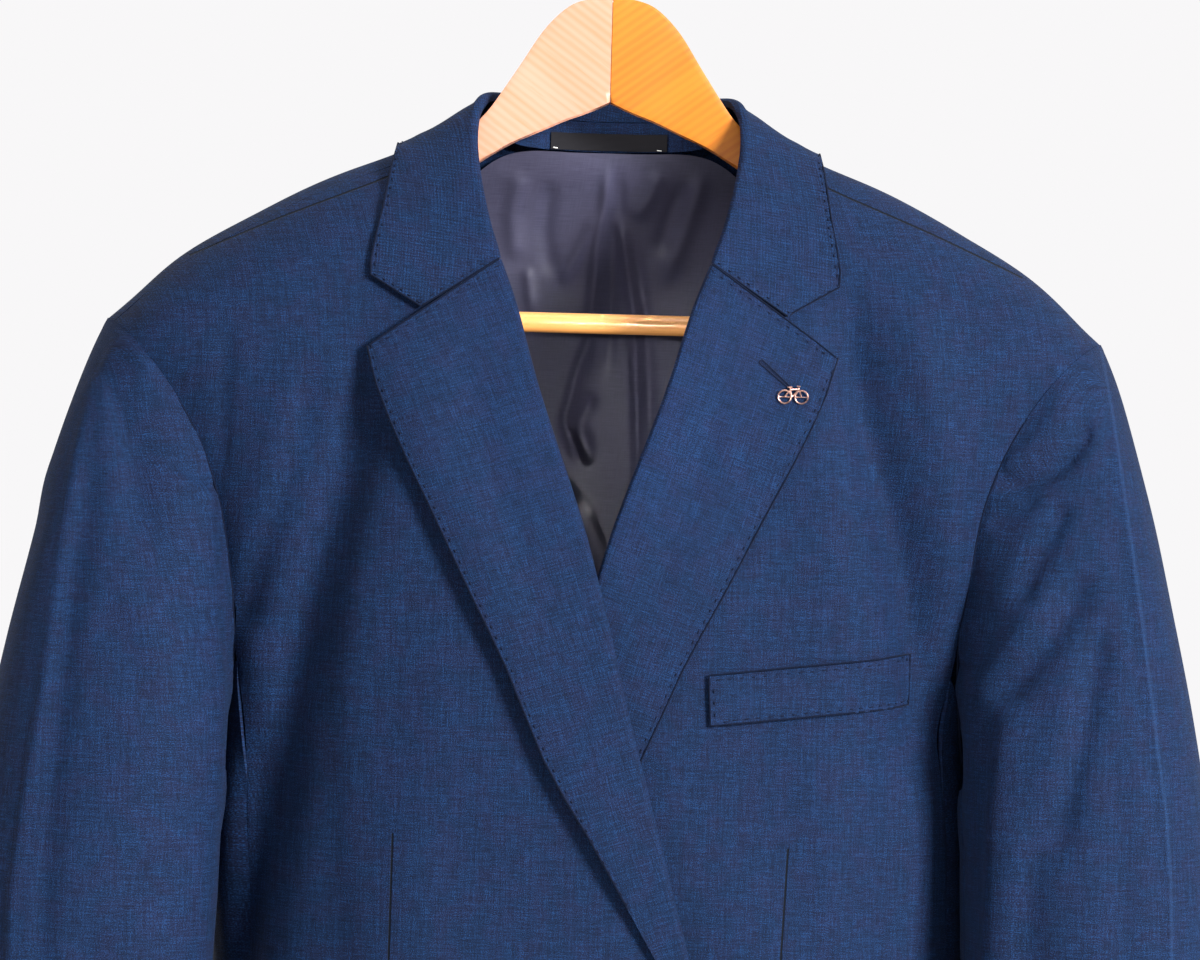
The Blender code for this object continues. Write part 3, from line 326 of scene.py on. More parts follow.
RIGHT_SLEEVE_FOLDS = [
    (FRONT, -6.5, 5, 5, [
        (246, -262), (242, -281), (234, -292), (223, -301), (210, -306), (198, -307)]),
    (FRONT, 4.0, 6, 6, [(240, -258), (228, -279), (218, -291), (203, -302)]),
    (FRONT, -2.5, 4, 4, [(222, -311), (210, -320), (198, -326)]),
    (FRONT, -4.8, 5, 7, [(236, -308), (224, -334), (216, -350), (209, -368)]),
    (FRONT, -5.5, 6, 8, [(250, -346), (235, -369), (223, -387), (210, -405), (200, -418)]),
    (FRONT, 2.0, 6, 6, [(232, -352), (217, -374), (206, -392), (190, -418)]),
    (FRONT, -4.8, 5, 8, [(255, -368), (247, -406), (242, -433), (235, -465), (229, -500)]),
    (FRONT, 1.5, 7, 7, [(241, -384), (233, -427), (225, -462), (217, -515)]),
    (FRONT, 1.9, 3.0, 2.2, RIGHT_CREASE),
    (FRONT, -1.5, 8, 8, [(256, -410), (265, -484), (268, -542), (268, -620)]),
    (FRONT, -2.6, 9, 9, [(214, -540), (244, -560), (272, -566)]),
    (FRONT, -2.6, 9, 9, [(216, -650), (244, -630), (276, -624)]),
    (FRONT, -2.0, 9, 9, [(220, -750), (248, -734), (282, -728)]),
    (FRONT, 7.0, 6, 13, [(211, -400), (207, -470), (205, -540), (206, -640)]),
    (FRONT, -3.0, 4, 6, [(226, -450), (221, -500), (217, -550), (216, -600)]),
    (ALL_ROUND, 2.2, 12, 12, [(196, -396), (193, -430), (193, -450), (193, -500)]),
    (BACK, -3.4, 10, 10, [(226, -312), (250, -350), (286, -362)]),
    (BACK, -3.2, 9, 9, [(222, -526), (254, -552), (292, -550)]),
    (BACK, 1.8, 10, 10, [(226, -580), (258, -598), (296, -594)]),
]
SLEEVE_FOLDS = {-1: LEFT_SLEEVE_FOLDS, 1: RIGHT_SLEEVE_FOLDS}

# A lapel is stiffened with canvas: the folds below it hardly reach it. Its outer edge
# stands off the front a little, more on the left one, which lies on top.
STIFF = 0.15
LAPEL_FOLDS = [
    (FRONT, 5.0, 34, 40, [
        (-119, -190), (-118, -245), (-112, -264), (-100, -293), (-82, -327), (-64, -364),
        (-44, -404), (-23, -451), (0, -488), (22, -527), (50, -592)]),
    (FRONT, 1.0, 40, 34, [
        (119, -190), (118, -245), (112, -264), (100, -293), (82, -327), (64, -364), (44, -404),
        (30, -436), (18, -470)]),
    (FRONT, -1.0, 9, 9, [(-74, -240), (-58, -290), (-40, -340), (-22, -392)]),
    (FRONT, 0.8, 10, 10, [(-96, -262), (-76, -310), (-52, -362), (-30, -412)]),
    (FRONT, -0.9, 9, 9, [(66, -236), (56, -280), (40, -330), (26, -380)]),
]
print("folds on the body:", len(BODY_FOLDS), "on the sleeves:",
      sum(len(folds) for folds in SLEEVE_FOLDS.values()), "on the lapels:", len(LAPEL_FOLDS))

# %% The field that moves the cloth
FOLD_END, SIDE_EASE = 0.2, 30    # share of a path where a fold dies out, and mm of depth


def path_distance(x, z, path):
    """Distance of points from a path, where along it (0 to 1) they are nearest, and
    whether they lie on the right-hand side of a path that runs down."""
    best, place = np.full(x.shape, np.inf), np.zeros(x.shape)
    beyond = np.zeros(x.shape, dtype=bool)
    steps = len(path) - 1
    for i, ((x1, z1), (x2, z2)) in enumerate(zip(path, path[1:])):
        ux, uz = x2 - x1, z2 - z1
        share = np.clip(((x - x1) * ux + (z - z1) * uz) / (ux * ux + uz * uz), 0, 1)
        away = np.hypot(x - x1 - share * ux, z - z1 - share * uz)
        nearer = away < best
        best, place = np.where(nearer, away, best), np.where(nearer, (i + share) / steps, place)
        beyond = np.where(nearer, ux * (z - z1) - uz * (x - x1) > 0, beyond)
    return best, place, beyond


def fold_height(points, axis_y, folds):
    """How far out the folds push points, in millimetres."""
    x, y, z = points.T
    height = np.zeros(len(points))
    for facing, depth, left, right, path in folds:
        away, place, beyond = path_distance(x, z, path)
        near_end = np.clip(np.minimum(place, 1 - place) / FOLD_END, 0, 1)
        ends = near_end * near_end * (3 - 2 * near_end)
        side = np.clip(0.5 + facing * (y - axis_y) / SIDE_EASE, 0, 1) if facing else 1.0
        height += depth * side * ends * np.exp(-(away / np.where(beyond, right, left)) ** 2)
    return height


def unevenness(points):
    """Small wandering of the cloth, under a millimetre, with no repeat that shows."""
    x, y, z = points.T
    return (0.35 * np.sin(x / 31 + 1.3 * np.sin(z / 57)) * np.sin(z / 43 + y / 37)
            + 0.22 * np.sin(x / 17 + z / 29 + 2.1) * np.sin(z / 23 - x / 41 + y / 19))


def drape(points, field="body"):
    """Points (n, 3) in metres, moved by the folds of a field: the body, the lapel, or the
    sleeve on one side (-1 or 1)."""
    mm = points / MM
    axis, reach, top = np.array(BODY_AXIS), BODY_ROUND, BODY_TOP
    if field in (-1, 1):
        axis, reach, top = SLEEVE_AXIS * np.array([field, 1]), SLEEVE_ROUND, SLEEVE_TOP
        height = fold_height(mm, axis[1], SLEEVE_FOLDS[field])
    else:
        height = fold_height(mm, axis[1], BODY_FOLDS)
    if field == "lapel":
        height = STIFF * height + fold_height(mm, axis[1], LAPEL_FOLDS)
    height += unevenness(mm)
    hang = np.clip((top - mm[:, 2]) / HANG_EASE, 0, 1)
    out = (mm[:, :2] - axis) / np.square(reach)
    out = out / np.maximum(np.linalg.norm(out, axis=1, keepdims=True), 1e-9)
    moved = mm.copy()
    moved[:, :2] += out * (height * hang)[:, None]
    return moved * MM


chest = np.array([[0.136, -0.09, -0.277]])
print("a point in the right valley moves by", np.round((drape(chest) - chest)[0] / MM, 1), "mm")

# %% [markdown]
# Each solid comes as loose triangles. Merged and joined back to quads, a copy of it can
# be subdivided: the cloth becomes smooth, while its rim stays sharp because those edges
# are creased. A subdivided cage shrinks away from its own corners, which would open every
# seam, so the cage is first moved out by as much as it would lose. The subdivision is
# applied, so that the folds can move its points. Two pieces of one field that meet at a
# seam still meet after it.

# %% A smooth copy of a solid
WELD = 0.02 * MM
JOIN_FACES, JOIN_SHAPES = math.radians(40), math.radians(60)
RIM_ANGLE, SHARP_ANGLE = math.radians(48), math.radians(42)


def quads_of(node):
    """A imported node's solid in bmesh, its loose triangles merged and joined to quads."""
    work = bmesh.new()
    work.from_mesh(frame["nodes"][node].data)
    bmesh.ops.remove_doubles(work, verts=work.verts, dist=WELD)
    bmesh.ops.join_triangles(work, faces=work.faces, angle_face_threshold=JOIN_FACES,
                             angle_shape_threshold=JOIN_SHAPES)
    return work


def add_object(name, data):
    """An object at the origin that shows a mesh or curve, or is a lamp or camera."""
    new = bpy.data.objects.new(name, data)
    bpy.context.scene.collection.objects.link(new)
    return new


def object_from(work, name):
    """An object whose mesh is what was made in bmesh."""
    mesh = bpy.data.meshes.new(name)
    work.to_mesh(mesh)
    work.free()
    return add_object(name, mesh)


def smooth_copy(node, levels):
    """An applied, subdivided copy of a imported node, with its sharp edges kept."""
    work = quads_of(node)
    crease = work.edges.layers.float.new("crease_edge")
    for edge in work.edges:
        edge[crease] = 1.0 if edge.calc_face_angle(0.0) > RIM_ANGLE else 0.0
    piece = object_from(work, f"{node}_finished")
    if levels:
        finer = piece.modifiers.new("smooth", "SUBSURF")
        finer.levels = finer.render_levels = 1
        keep_reach(piece)
        finer.levels = finer.render_levels = levels
        apply_modifiers(piece)
    piece.data.shade_smooth()
    piece.data.set_sharp_from_angle(angle=SHARP_ANGLE)
    return piece


def keep_reach(piece, rounds=3):
    """Moves the cage so that its smooth surface passes through the cage's old corners."""
    goal = points_of(piece.data)
    for _ in range(rounds):
        graph = bpy.context.evaluated_depsgraph_get()
        smooth = piece.evaluated_get(graph).to_mesh()
        reached = points_of(smooth)[:len(goal)]
        move_points(piece.data, points_of(piece.data) + 0.9 * (goal - reached))
        piece.evaluated_get(graph).to_mesh_clear()


def apply_modifiers(piece):
    """Makes what the modifiers do a part of the mesh."""
    shown = piece.evaluated_get(bpy.context.evaluated_depsgraph_get())
    finished = bpy.data.meshes.new_from_object(shown)
    old, finished.name = piece.data, piece.data.name
    piece.modifiers.clear()
    piece.data = finished
    bpy.data.meshes.remove(old)


def points_of(mesh):
    flat = np.empty(len(mesh.vertices) * 3)
    mesh.vertices.foreach_get("co", flat)
    return flat.reshape(-1, 3)


def move_points(mesh, points):
    mesh.vertices.foreach_set("co", points.ravel())
    mesh.update()


print("corners weld within", round(WELD / MM, 2), "mm")

# %% [markdown]
# A woven pattern needs a map of the cloth. Most pieces face the front or the back, so
# their x and z make the map, with a share of y where they turn away. A sleeve or a side
# panel is part of a tube: the angle round its axis, times a radius, is the distance across
# the cloth. The map is cut open on the side that the piece doesn't reach.

# %% The map of the cloth
TURNING_SHARE, TUBE_RADIUS = 0.35, 0.062


def map_cloth(piece, kind):
    """Writes a UV map in metres: kind is flat or (axis x, axis y, far angle)."""
    mesh = piece.data
    points = points_of(mesh)
    x, y, z = points.T
    if kind == "flat":
        across = x + TURNING_SHARE * y
    else:
        axis_x, axis_y, far = kind
        angle = np.arctan2(y - axis_y * MM, x - axis_x * MM)
        across = TUBE_RADIUS * ((angle - math.radians(far)) % (2 * math.pi))
    corners = np.empty(len(mesh.loops), dtype=np.int64)
    mesh.loops.foreach_get("vertex_index", corners)
    layer = mesh.uv_layers.new(name="cloth")
    layer.data.foreach_set("uv", np.column_stack([across, z])[corners].ravel())


def dress(piece, node, material, body="root"):
    """The piece stands for its node and takes its finish."""
    piece.data.materials.clear()
    piece.data.materials.append(material)
    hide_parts(node)
    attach(piece, body)
    return piece


print("cloth round a tube:", round(2 * math.pi * TUBE_RADIUS, 3), "m")

# %% [markdown]
# The panels of the body and the sleeves, and what lies on them. The table says for each
# one how fine it is made, how its cloth is mapped and which field moves it.

# %% Cloth on the panels
SHOULDERS = [((side * a, b), (side * c, d)) for side in (-1, 1)
             for (a, b), (c, d) in (((106, -153), (124, -161)), ((124, -161), (168, -179)),
                                    ((168, -179), (214, -199)))]
DARTS = [((-99, -489), (-99.3, -552)), ((-99.3, -552), (-103, -676)),
         ((99.4, -492), (97.2, -547)), ((97.2, -547), (99, -676))]
PLAIN = suit_cloth("suit_cloth_panels", seams=DARTS + SHOULDERS)
SLEEVE_CLOTH = suit_cloth("suit_cloth_sleeves", creases=list(zip(RIGHT_CREASE, RIGHT_CREASE[1:])))
LAPEL_LEFT = suit_cloth("suit_cloth_lapel_left", turn=-18, birdseye=0.08)
LAPEL_RIGHT = suit_cloth("suit_cloth_lapel_right", turn=18, birdseye=0.08)
COLLAR_CLOTH = suit_cloth("suit_cloth_collar", turn=8, birdseye=0.22)

PANELS = [  # node, subdivisions, map, field of folds, material
    ("front_left", 3, "flat", "body", PLAIN),
    ("front_right", 3, "flat", "body", PLAIN),
    ("back_left", 3, "flat", "body", PLAIN),
    ("back_right", 3, "flat", "body", PLAIN),
    ("side_left", 2, (0, 0, 0), "body", SLEEVE_CLOTH),
    ("side_right", 2, (0, 0, 180), "body", SLEEVE_CLOTH),
    ("topsleeve_left", 3, (-262, -35, 0), -1, SLEEVE_CLOTH),
    ("topsleeve_right", 3, (262, -35, 180), 1, SLEEVE_CLOTH),
    ("undersleeve_left", 2, (-262, -35, 180), -1, SLEEVE_CLOTH),
    ("undersleeve_right", 2, (262, -35, 0), 1, SLEEVE_CLOTH),
    ("lapel_left", 3, "flat", "lapel", LAPEL_LEFT),
    ("lapel_right", 3, "flat", "lapel", LAPEL_RIGHT),
    ("collar", 3, "flat", "lapel", COLLAR_CLOTH),
    ("neck_facing", 2, "flat", "body", SLEEVE_CLOTH),
    ("breast_welt", 3, "flat", "body", PLAIN),
    ("flap_left", 3, "flat", "body", PLAIN),
    ("flap_right", 3, "flat", "body", PLAIN),
]

cloth = {}
for node, levels, kind, field, material in PANELS:
    piece = smooth_copy(node, levels)
    map_cloth(piece, kind)
    move_points(piece.data, drape(points_of(piece.data), field))
    cloth[node] = dress(piece, node, material)
    print(node, "triangles", sum(len(p.vertices) - 2 for p in piece.data.polygons))

# %% [markdown]
# The solids of sleeve and body stand a little apart at the armhole. Sewn cloth touches,
# so the sleeve's rim is drawn to the body's edge, by less and less over the next
# centimetre or two.

# %% The sleeve meets the armhole
SEAM_REACH, SEAM_EASE, SEAM_REST = 2.6 * MM, 20 * MM, 0.25 * MM
SEAM_NEAR = 6    # points of the rim that pull on a point together


def meet(piece, body):
    """Draws the part of a piece that lies close to a surface up to it."""
    points = points_of(piece.data)
    rim = []
    for point in points:
        hit = body.find_nearest(Vector(point), SEAM_REACH)[0]
        if hit is not None:
            gap = hit - Vector(point)
            rim.append((Vector(point), gap * max(1 - SEAM_REST / max(gap.length, 1e-9), 0.0)))
    tree = KDTree(len(rim))
    for i, (place, _) in enumerate(rim):
        tree.insert(place, i)
    tree.balance()
    for k, point in enumerate(points):
        near = tree.find_n(point, SEAM_NEAR)
        if near[0][2] < SEAM_EASE:
            pull = sum((rim[i][1] for _, i, _ in near), Vector()) / len(near)
            points[k] += np.array(pull) * math.cos(near[0][2] / SEAM_EASE * math.pi / 2) ** 2
    move_points(piece.data, points)


def surface_of(*pieces):
    """A tree for asking where the surface of some finished pieces is nearest."""
    points, faces = [], []
    for piece in pieces:
        start = len(points)
        points += [Vector(p) for p in points_of(piece.data)]
        faces += [[start + v for v in face.vertices] for face in piece.data.polygons]
    return BVHTree.FromPolygons(points, faces)


def body_at(hand):
    """The surface of the three panels round an armhole."""
    return surface_of(*(cloth[f"{panel}_{hand}"] for panel in ("front", "back", "side")))


HANDS = {"left": -1, "right": 1}
for hand in HANDS:
    body = body_at(hand)
    for sleeve in ("topsleeve", "undersleeve"):
        meet(cloth[f"{sleeve}_{hand}"], body)
print("sleeves drawn to the armholes")

# %% [markdown]
# The panels are sewn edge to edge, so their rims are drawn together at the seams until
# they all but touch, and no light shows through. The thread pulls them in a little, so a
# soft groove runs along each seam.

# %% The seams between panels
JOIN_REACH, JOIN_REST, GROOVE_DEEP = 0.9 * MM, 0.05 * MM, 0.5 * MM


def close_seam(first, second, axis):
    """Draws two pieces' rims together where they lie within reach of each other, and in
    towards an upright axis (x, y)."""
    trees = surface_of(first), surface_of(second)
    for piece, other in ((first, trees[1]), (second, trees[0])):
        points = points_of(piece.data)
        for i, point in enumerate(points):
            place, _, _, away = other.find_nearest(Vector(point), JOIN_REACH)
            if place is not None and away > JOIN_REST:
                inward = np.array([*axis, point[2]]) - point
                points[i] += (np.array(place) - point) * ((away - JOIN_REST) / 2 / away)
                points[i] += inward * (GROOVE_DEEP / np.linalg.norm(inward))
        move_points(piece.data, points)


middle, sleeve_y = (0.0, 0.0), SLEEVE_AXIS[1] * MM
seams = [("back_left", "back_right", middle)]
for hand, side in HANDS.items():
    seams += [(f"front_{hand}", f"side_{hand}", middle), (f"back_{hand}", f"side_{hand}", middle),
              (f"topsleeve_{hand}", f"undersleeve_{hand}", (side * SLEEVE_AXIS[0] * MM, sleeve_y))]
for first, second, axis in seams:
    close_seam(cloth[first], cloth[second], axis)
print("seams drawn together:", len(seams))

# %% [markdown]
# Inside the neck shows the lining, a thin satin that is cut larger than the cloth so that
# it never pulls. It has a loose pleat down the middle of the back, and behind the bar it
# falls in small sharp wrinkles. They are drawn as paths too, narrower than the folds of
# the wool, and move the lining forward, towards the viewer.

# %% The lining
LINING_FOLDS = [(ALL_ROUND, height, half, half, path) for height, half, path in (
    (3.0, 3.0, [(0, -142), (-1, -162), (-5, -184), (-7, -222), (-10, -262)]),
    (-2.4, 3.4, [(6, -142), (6, -162), (3, -186), (4, -222), (2, -262)]),
    (2.6, 2.6, [(1, -158), (9, -183), (16, -222), (18, -260), (20, -300), (19, -340)]),
    (-1.8, 3.2, [(13, -176), (22, -222), (25, -262), (27, -300)]),
    (2.2, 3.0, [(-4, -166), (-15, -190), (-24, -206)]),
    (2.6, 2.6, [(-9, -232), (-15, -256), (-20, -280), (-12, -298)]),
    (-2.8, 3.8, [(-4, -262), (-12, -282), (-4, -300)]),
    (1.8, 3.0, [(-42, -197), (-40, -210), (-38, -222)]),
    (2.2, 4.5, [(50, -144), (46, -162), (39, -184), (30, -206)]),
    (-1.8, 4.0, [(40, -150), (32, -172), (27, -190)]),
    (1.8, 4.0, [(28, -146), (22, -160), (14, -172)]),
    (2.0, 5.0, [(-46, -146), (-50, -170), (-48, -196)]),
    (-1.6, 4.5, [(-30, -150), (-33, -178), (-28, -204)]),
    (1.6, 6.0, [(-24, -310), (-8, -330), (6, -360)]),
    (1.6, 7.0, [(60, -240), (52, -300), (48, -380)]),
    (-1.8, 8.0, [(-60, -230), (-52, -300), (-50, -390)]))]
LINING_OFF, LINING_LIMITS = 0.4 * MM, (-2.2 * MM, 4.0 * MM)    # forward of the solid
RISE_START, RISE_EASE, RISE = -152, 12, 2.4    # mm: its top goes up under the facing's edge


def satin(name):
    """Charcoal satin: fine yarns across, and a cast that wanders between grey and plum."""
    material, wire = new_material(name)
    place = wire.node("TexCoord", out=UV_MAP)
    yarn = yarns(wire, place, 12.0, 0.35) * 0.6 + yarns(wire, place, 0.35, 10.0) * 0.4
    cloud = yarns(wire, place, 26.0, 34.0, 1.0).fade(0.3, 0.7)
    colour = cloud.mix(rgb(45, 45, 64), rgb(51, 49, 69))
    colour = yarn.fade(0.2, 0.9).mix(colour, rgb(67, 66, 88))
    finish_with(wire, Base_Color=colour, Roughness=cloud * 0.12 + 0.4, Anisotropic=0.35,
                Specular_IOR_Level=0.4, Sheen_Weight=0.1, Normal=yarn.bump(0.2, 0.2))
    return material


lining = smooth_copy("lining_back", 4)
map_cloth(lining, "flat")
points = points_of(lining.data)
forward = fold_height(points / MM, 0.0, LINING_FOLDS) * MM
points[:, 1] -= np.clip(forward + LINING_OFF, *LINING_LIMITS)
rise = np.clip(points[:, 2] / MM - RISE_START, 0, None) / RISE_EASE
points[:, 2] += np.square(rise) * RISE * MM
move_points(lining.data, points)
dress(lining, "lining_back", satin("lining_satin"))
print("lining moved forward by up to", round(forward.max() / MM, 1), "mm")

# %% [markdown]
# The woven label is sewn under the collar with a few white stitches at its lower corners.
# It is left bare. Its damask shows as very fine ribs.

# %% The label
label_paint, wire = new_material("label_black")
ribs = wire.node("TexWave", {"bands_direction": "Z"}, {
    "Vector": wire.node("TexCoord", out=OBJECT), "Scale": 520.0, "Distortion": 0.4})
finish_with(wire, Base_Color=ribs.mix(rgb(13, 13, 16), rgb(25, 24, 29)), Roughness=0.85,
            Specular_IOR_Level=0.2, Normal=ribs.bump(0.3, 0.2))
label = dress(smooth_copy("label", 2), "label", label_paint)
print("label", [round(size / MM, 1) for size in label.dimensions], "mm")

# %% [markdown]
# The hanger is lacquered beech. Its grain runs along each arm, so the noise is stretched
# along a turned axis, and broad rings wander through it. The left arm is painted paler
# than the right: a painted highlight for the light its lacquer catches from the lamp on
# the viewer's right.


# %% Wood
def beech(name, slant, pale, deep, line):
    """Lacquered wood with its grain at a slant, in degrees, in the plane of the hanger."""
    material, wire = new_material(name)
    place = wire.node("TexCoord", out=OBJECT).mapped(rotation=(0, math.radians(slant), 0))
    place = place.mapped((9.0, 160.0, 160.0))
    wander = wire.node("TexNoise", links={"Vector": place, "Scale": 0.55, "Detail": 3.0})
    rings = wire.node("TexWave", {"wave_type": "BANDS", "bands_direction": "Z"},
                      {"Vector": place, "Scale": 0.5, "Distortion": 3.0, "Detail": 3.0,
                       "Detail Scale": 0.5})
    pores = wire.node("TexNoise", links={"Vector": place, "Scale": 5.0, "Detail": 4.0})
    colour = (wander * 0.75 + rings * 0.25).fade(0.25, 0.85).mix(pale, deep)
    colour = (pores.fade(0.55, 0.75) * 0.28).mix(colour, line)
    finish_with(wire, Base_Color=colour, Roughness=pores * 0.1 + 0.38, Coat_Weight=0.15,
                Coat_Roughness=0.12, Normal=pores.bump(0.08, 0.2))
    return material


WOOD = {
    # Painted highlight: the left arm's paler tones stand for the light its lacquer catches.
    "hanger_arm_left": beech("wood_left_painted_highlight", -36, rgb(203, 146, 122), rgb(193, 130, 96),
                             rgb(178, 116, 62)),
    "hanger_arm_right": beech("wood_right", 36, rgb(196, 116, 20), rgb(184, 98, 11),
                              rgb(160, 82, 18)),
    "trouser_bar": beech("wood_bar", 0, rgb(240, 170, 98), rgb(228, 150, 74),
                         rgb(190, 120, 60)),
}
for node, wood in WOOD.items():
    dress(smooth_copy(node, 2), node, wood)
print("hanger:", ", ".join(WOOD))

# %% [markdown]
# Metal and horn. The hook is bright steel wire with faint drawing marks, the pin is rose
# gold, and the buttons are polished navy with a cloudy grain like horn.


# %% Hook, pin and buttons
def speckle(wire, scale, detail=2.0):
    """Noise in the room, so many grains to the metre, whatever the shape of the piece."""
    return wire.node("TexNoise", links={"Vector": wire.node("TexCoord", out=OBJECT),
                                        "Scale": scale, "Detail": detail})


def metal(name, colour, worn, roughness):
    """A bare metal, a little duller in spots."""
    material, wire = new_material(name)
    spots = speckle(wire, 900.0, 3.0).fade(0.35, 0.7)
    finish_with(wire, Base_Color=spots.mix(colour, worn), Metallic=1.0,
                Roughness=spots * 0.15 + roughness)
    return material


def horn(name):
    """Navy button stock with a cloudy grain."""
    material, wire = new_material(name)
    place = wire.node("TexCoord", out=OBJECT).mapped((420.0, 420.0, 140.0))
    cloud = wire.node("TexNoise", links={"Vector": place, "Scale": 0.8, "Detail": 4.0,
                                         "Distortion": 1.2}).fade(0.3, 0.75)
    finish_with(wire, Base_Color=cloud.mix(rgb(14, 20, 38), rgb(48, 58, 86)),
                Roughness=cloud * 0.1 + 0.22, Coat_Weight=0.3, Coat_Roughness=0.1)
    return material


STEEL = metal("hook_steel", rgb(196, 197, 200), rgb(150, 150, 152), 0.2)
ROSE_GOLD = metal("pin_metal", rgb(186, 146, 134), rgb(130, 96, 86), 0.32)
HORN = horn("button_navy")
dress(smooth_copy("hook", 2), "hook", STEEL)
dress(smooth_copy("lapel_pin", 0), "lapel_pin", ROSE_GOLD)
BUTTONS = [node for node in frame["nodes"] if node.startswith("button_")]
for node in BUTTONS:
    dress(smooth_copy(node, 2), node, HORN)
print("buttons:", len(BUTTONS))

# %% [markdown]
# Sewing is what makes cloth read as a garment. All of it is thread laid along a path, so
# one helper turns paths into round thread: a curve with a bevel, made a mesh at once.

# %% Thread along paths
def thread(name, paths, radius, material, closed=False, sides=1):
    """One mesh piece of round thread along each path of points, in metres."""
    curve = bpy.data.curves.new(name, "CURVE")
    curve.dimensions = "3D"
    curve.bevel_depth, curve.bevel_resolution = radius, sides
    curve.use_fill_caps = not closed
    for path in paths:
        spline = curve.splines.new("POLY")
        spline.points.add(len(path) - 1)
        for point, place in zip(spline.points, path):
            point.co = (*place, 1.0)
        spline.use_cyclic_u = closed
    laid = add_object(name, curve)
    graph = bpy.context.evaluated_depsgraph_get()
    mesh = bpy.data.meshes.new_from_object(laid.evaluated_get(graph))
    bpy.data.objects.remove(laid)
    bpy.data.curves.remove(curve)
    mesh.name = name
    mesh.materials.clear()
    mesh.materials.append(material)
    mesh.shade_smooth()
    piece = add_object(name, mesh)
    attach(piece, "root")
    return piece


def thread_paint(name, dark, light, roughness=0.7):
    """Twisted sewing thread: two near tones in a very fine noise."""
    material, wire = new_material(name)
    twist = speckle(wire, 2600.0).fade(0.35, 0.65)
    finish_with(wire, Base_Color=twist.mix(dark, light), Roughness=roughness,
                Sheen_Weight=0.02, Specular_IOR_Level=0.1)
    return material


NAVY_THREAD = thread_paint("navy_thread", rgb(6, 11, 26), rgb(14, 24, 50))
WHITE_THREAD = thread_paint("white_thread", rgb(196, 194, 190), rgb(226, 224, 220))
print("threads:", NAVY_THREAD.name, "and", WHITE_THREAD.name)

# %% [markdown]
# The sleeve is sewn into the armhole from the inside, so outside only a fine groove shows.
# A dark cord runs round each armhole and closes the groove; it is painted shade, the dark
# line of the groove's shadow. Its path lies halfway between the sleeve's rim and the
# nearest cloth of the body, in order of the angle round the armhole, a little inside.


# %% Armhole shade cords
CORD_REACH, CORD_INSET, CORD_THICK, CORD_POINTS = 0.9 * MM, 0.05 * MM, 0.68 * MM, 96


def ring_between(sleeves, body):
    """Closed path halfway between the rims of some pieces and another surface."""
    near = []
    for piece in sleeves:
        for point in points_of(piece.data):
            hit = body.find_nearest(Vector(point), CORD_REACH)[0]
            if hit is not None:
                near.append((Vector(point) + hit) / 2)
    middle = sum(near, Vector()) / len(near)
    bins = {}
    for point in near:
        angle = math.atan2(point.z - middle.z, point.y - middle.y)
        place = round(angle / (2 * math.pi) * CORD_POINTS) % CORD_POINTS
        bins.setdefault(place, []).append(point)
    ring = [sum(bins[k], Vector()) / len(bins[k]) for k in sorted(bins)]
    ring = [point + (middle - point).normalized() * CORD_INSET for point in ring]
    for _ in range(2):
        ring = [(ring[k - 1] + 2 * ring[k] + ring[(k + 1) % len(ring)]) / 4
                for k in range(len(ring))]
    return ring


# Dark cord, painted shade: it stands for the shadow in the armhole groove and under the lapel
# edges.
SHADE_CORD = thread_paint("seam_shade_cord", rgb(4, 10, 24), rgb(9, 19, 42), 0.9)
for hand in HANDS:
    ring = ring_between([cloth[f"topsleeve_{hand}"], cloth[f"undersleeve_{hand}"]], body_at(hand))
    thread(f"armhole_shade_cord_{hand}", [ring], CORD_THICK, SHADE_CORD, closed=True, sides=2)
    print("armhole", hand, "points", len(ring), "length",
          round(sum((a - b).length for a, b in zip(ring, ring[1:] + ring[:1])), 3), "m")

# %% [markdown]
# A tailored edge is finished with pick stitches: tiny hand stitches about 6 mm apart, a
# couple of millimetres inside the edge of lapels, collar and breast pocket. Their line is
# the rim of the solid, the sharp edges round the face that is seen. Chained from end to
# end, each edge also tells which way the cloth lies.

# %% The rim that is seen
NECK_AXIS = Vector((0.0, 0.01, 0.0))
FACING_OUT, IN_THE_WAY = 0.15, 60 * MM


def seen_rim(node):
    """Chains along the rim of a node's outward face: points, and the way into the cloth."""
    work = quads_of(node)
    tree = BVHTree.FromBMesh(work)
    steps = {}
    for edge in work.edges:
        if edge.calc_face_angle(0.0) < RIM_ANGLE:
            continue
        face = max(edge.link_faces, key=lambda f: f.calc_area())
        middle = (edge.verts[0].co + edge.verts[1].co) / 2
        out = (middle - NECK_AXIS) * Vector((1, 1, 0))
        if face.normal.dot(out.normalized()) < FACING_OUT:
            continue
        if tree.ray_cast(middle + face.normal * MM, face.normal, IN_THE_WAY)[0] is not None:
            continue
        into = (face.calc_center_median() - middle).normalized()
        a, b = edge.verts
        steps.setdefault(a.index, []).append((b.index, into))
        steps.setdefault(b.index, []).append((a.index, into))
    work.verts.ensure_lookup_table()
    places = {i: work.verts[i].co.copy() for i in steps}
    work.free()
    chains, used = [], set()
    for start in sorted(steps, key=lambda i: len(steps[i])):
        here, path = start, []
        while here is not None:
            onward = next(((n, into) for n, into in steps[here]
                           if (min(here, n), max(here, n)) not in used), None)
            path.append((places[here], (onward or steps[here][0])[1]))
            if onward:
                used.add((min(here, onward[0]), max(here, onward[0])))
            here = onward[0] if onward else None
        if len(path) > 2:
            chains.append(path)
    return chains


def on_cloth(chains, field):
    """Rim chains moved with the folds of the piece that they lie on."""
    moved = []
    for chain in chains:
        points = drape(np.array([point for point, _ in chain]), field)
        moved.append([(Vector(point), into) for point, (_, into) in zip(points, chain)])
    return moved


RIMS = {node: on_cloth(seen_rim(node), "body" if node == "breast_welt" else "lapel")
        for node in ("lapel_left", "lapel_right", "collar", "breast_welt")}
print("rim chains:", {node: [len(chain) for chain in chains] for node, chains in RIMS.items()})
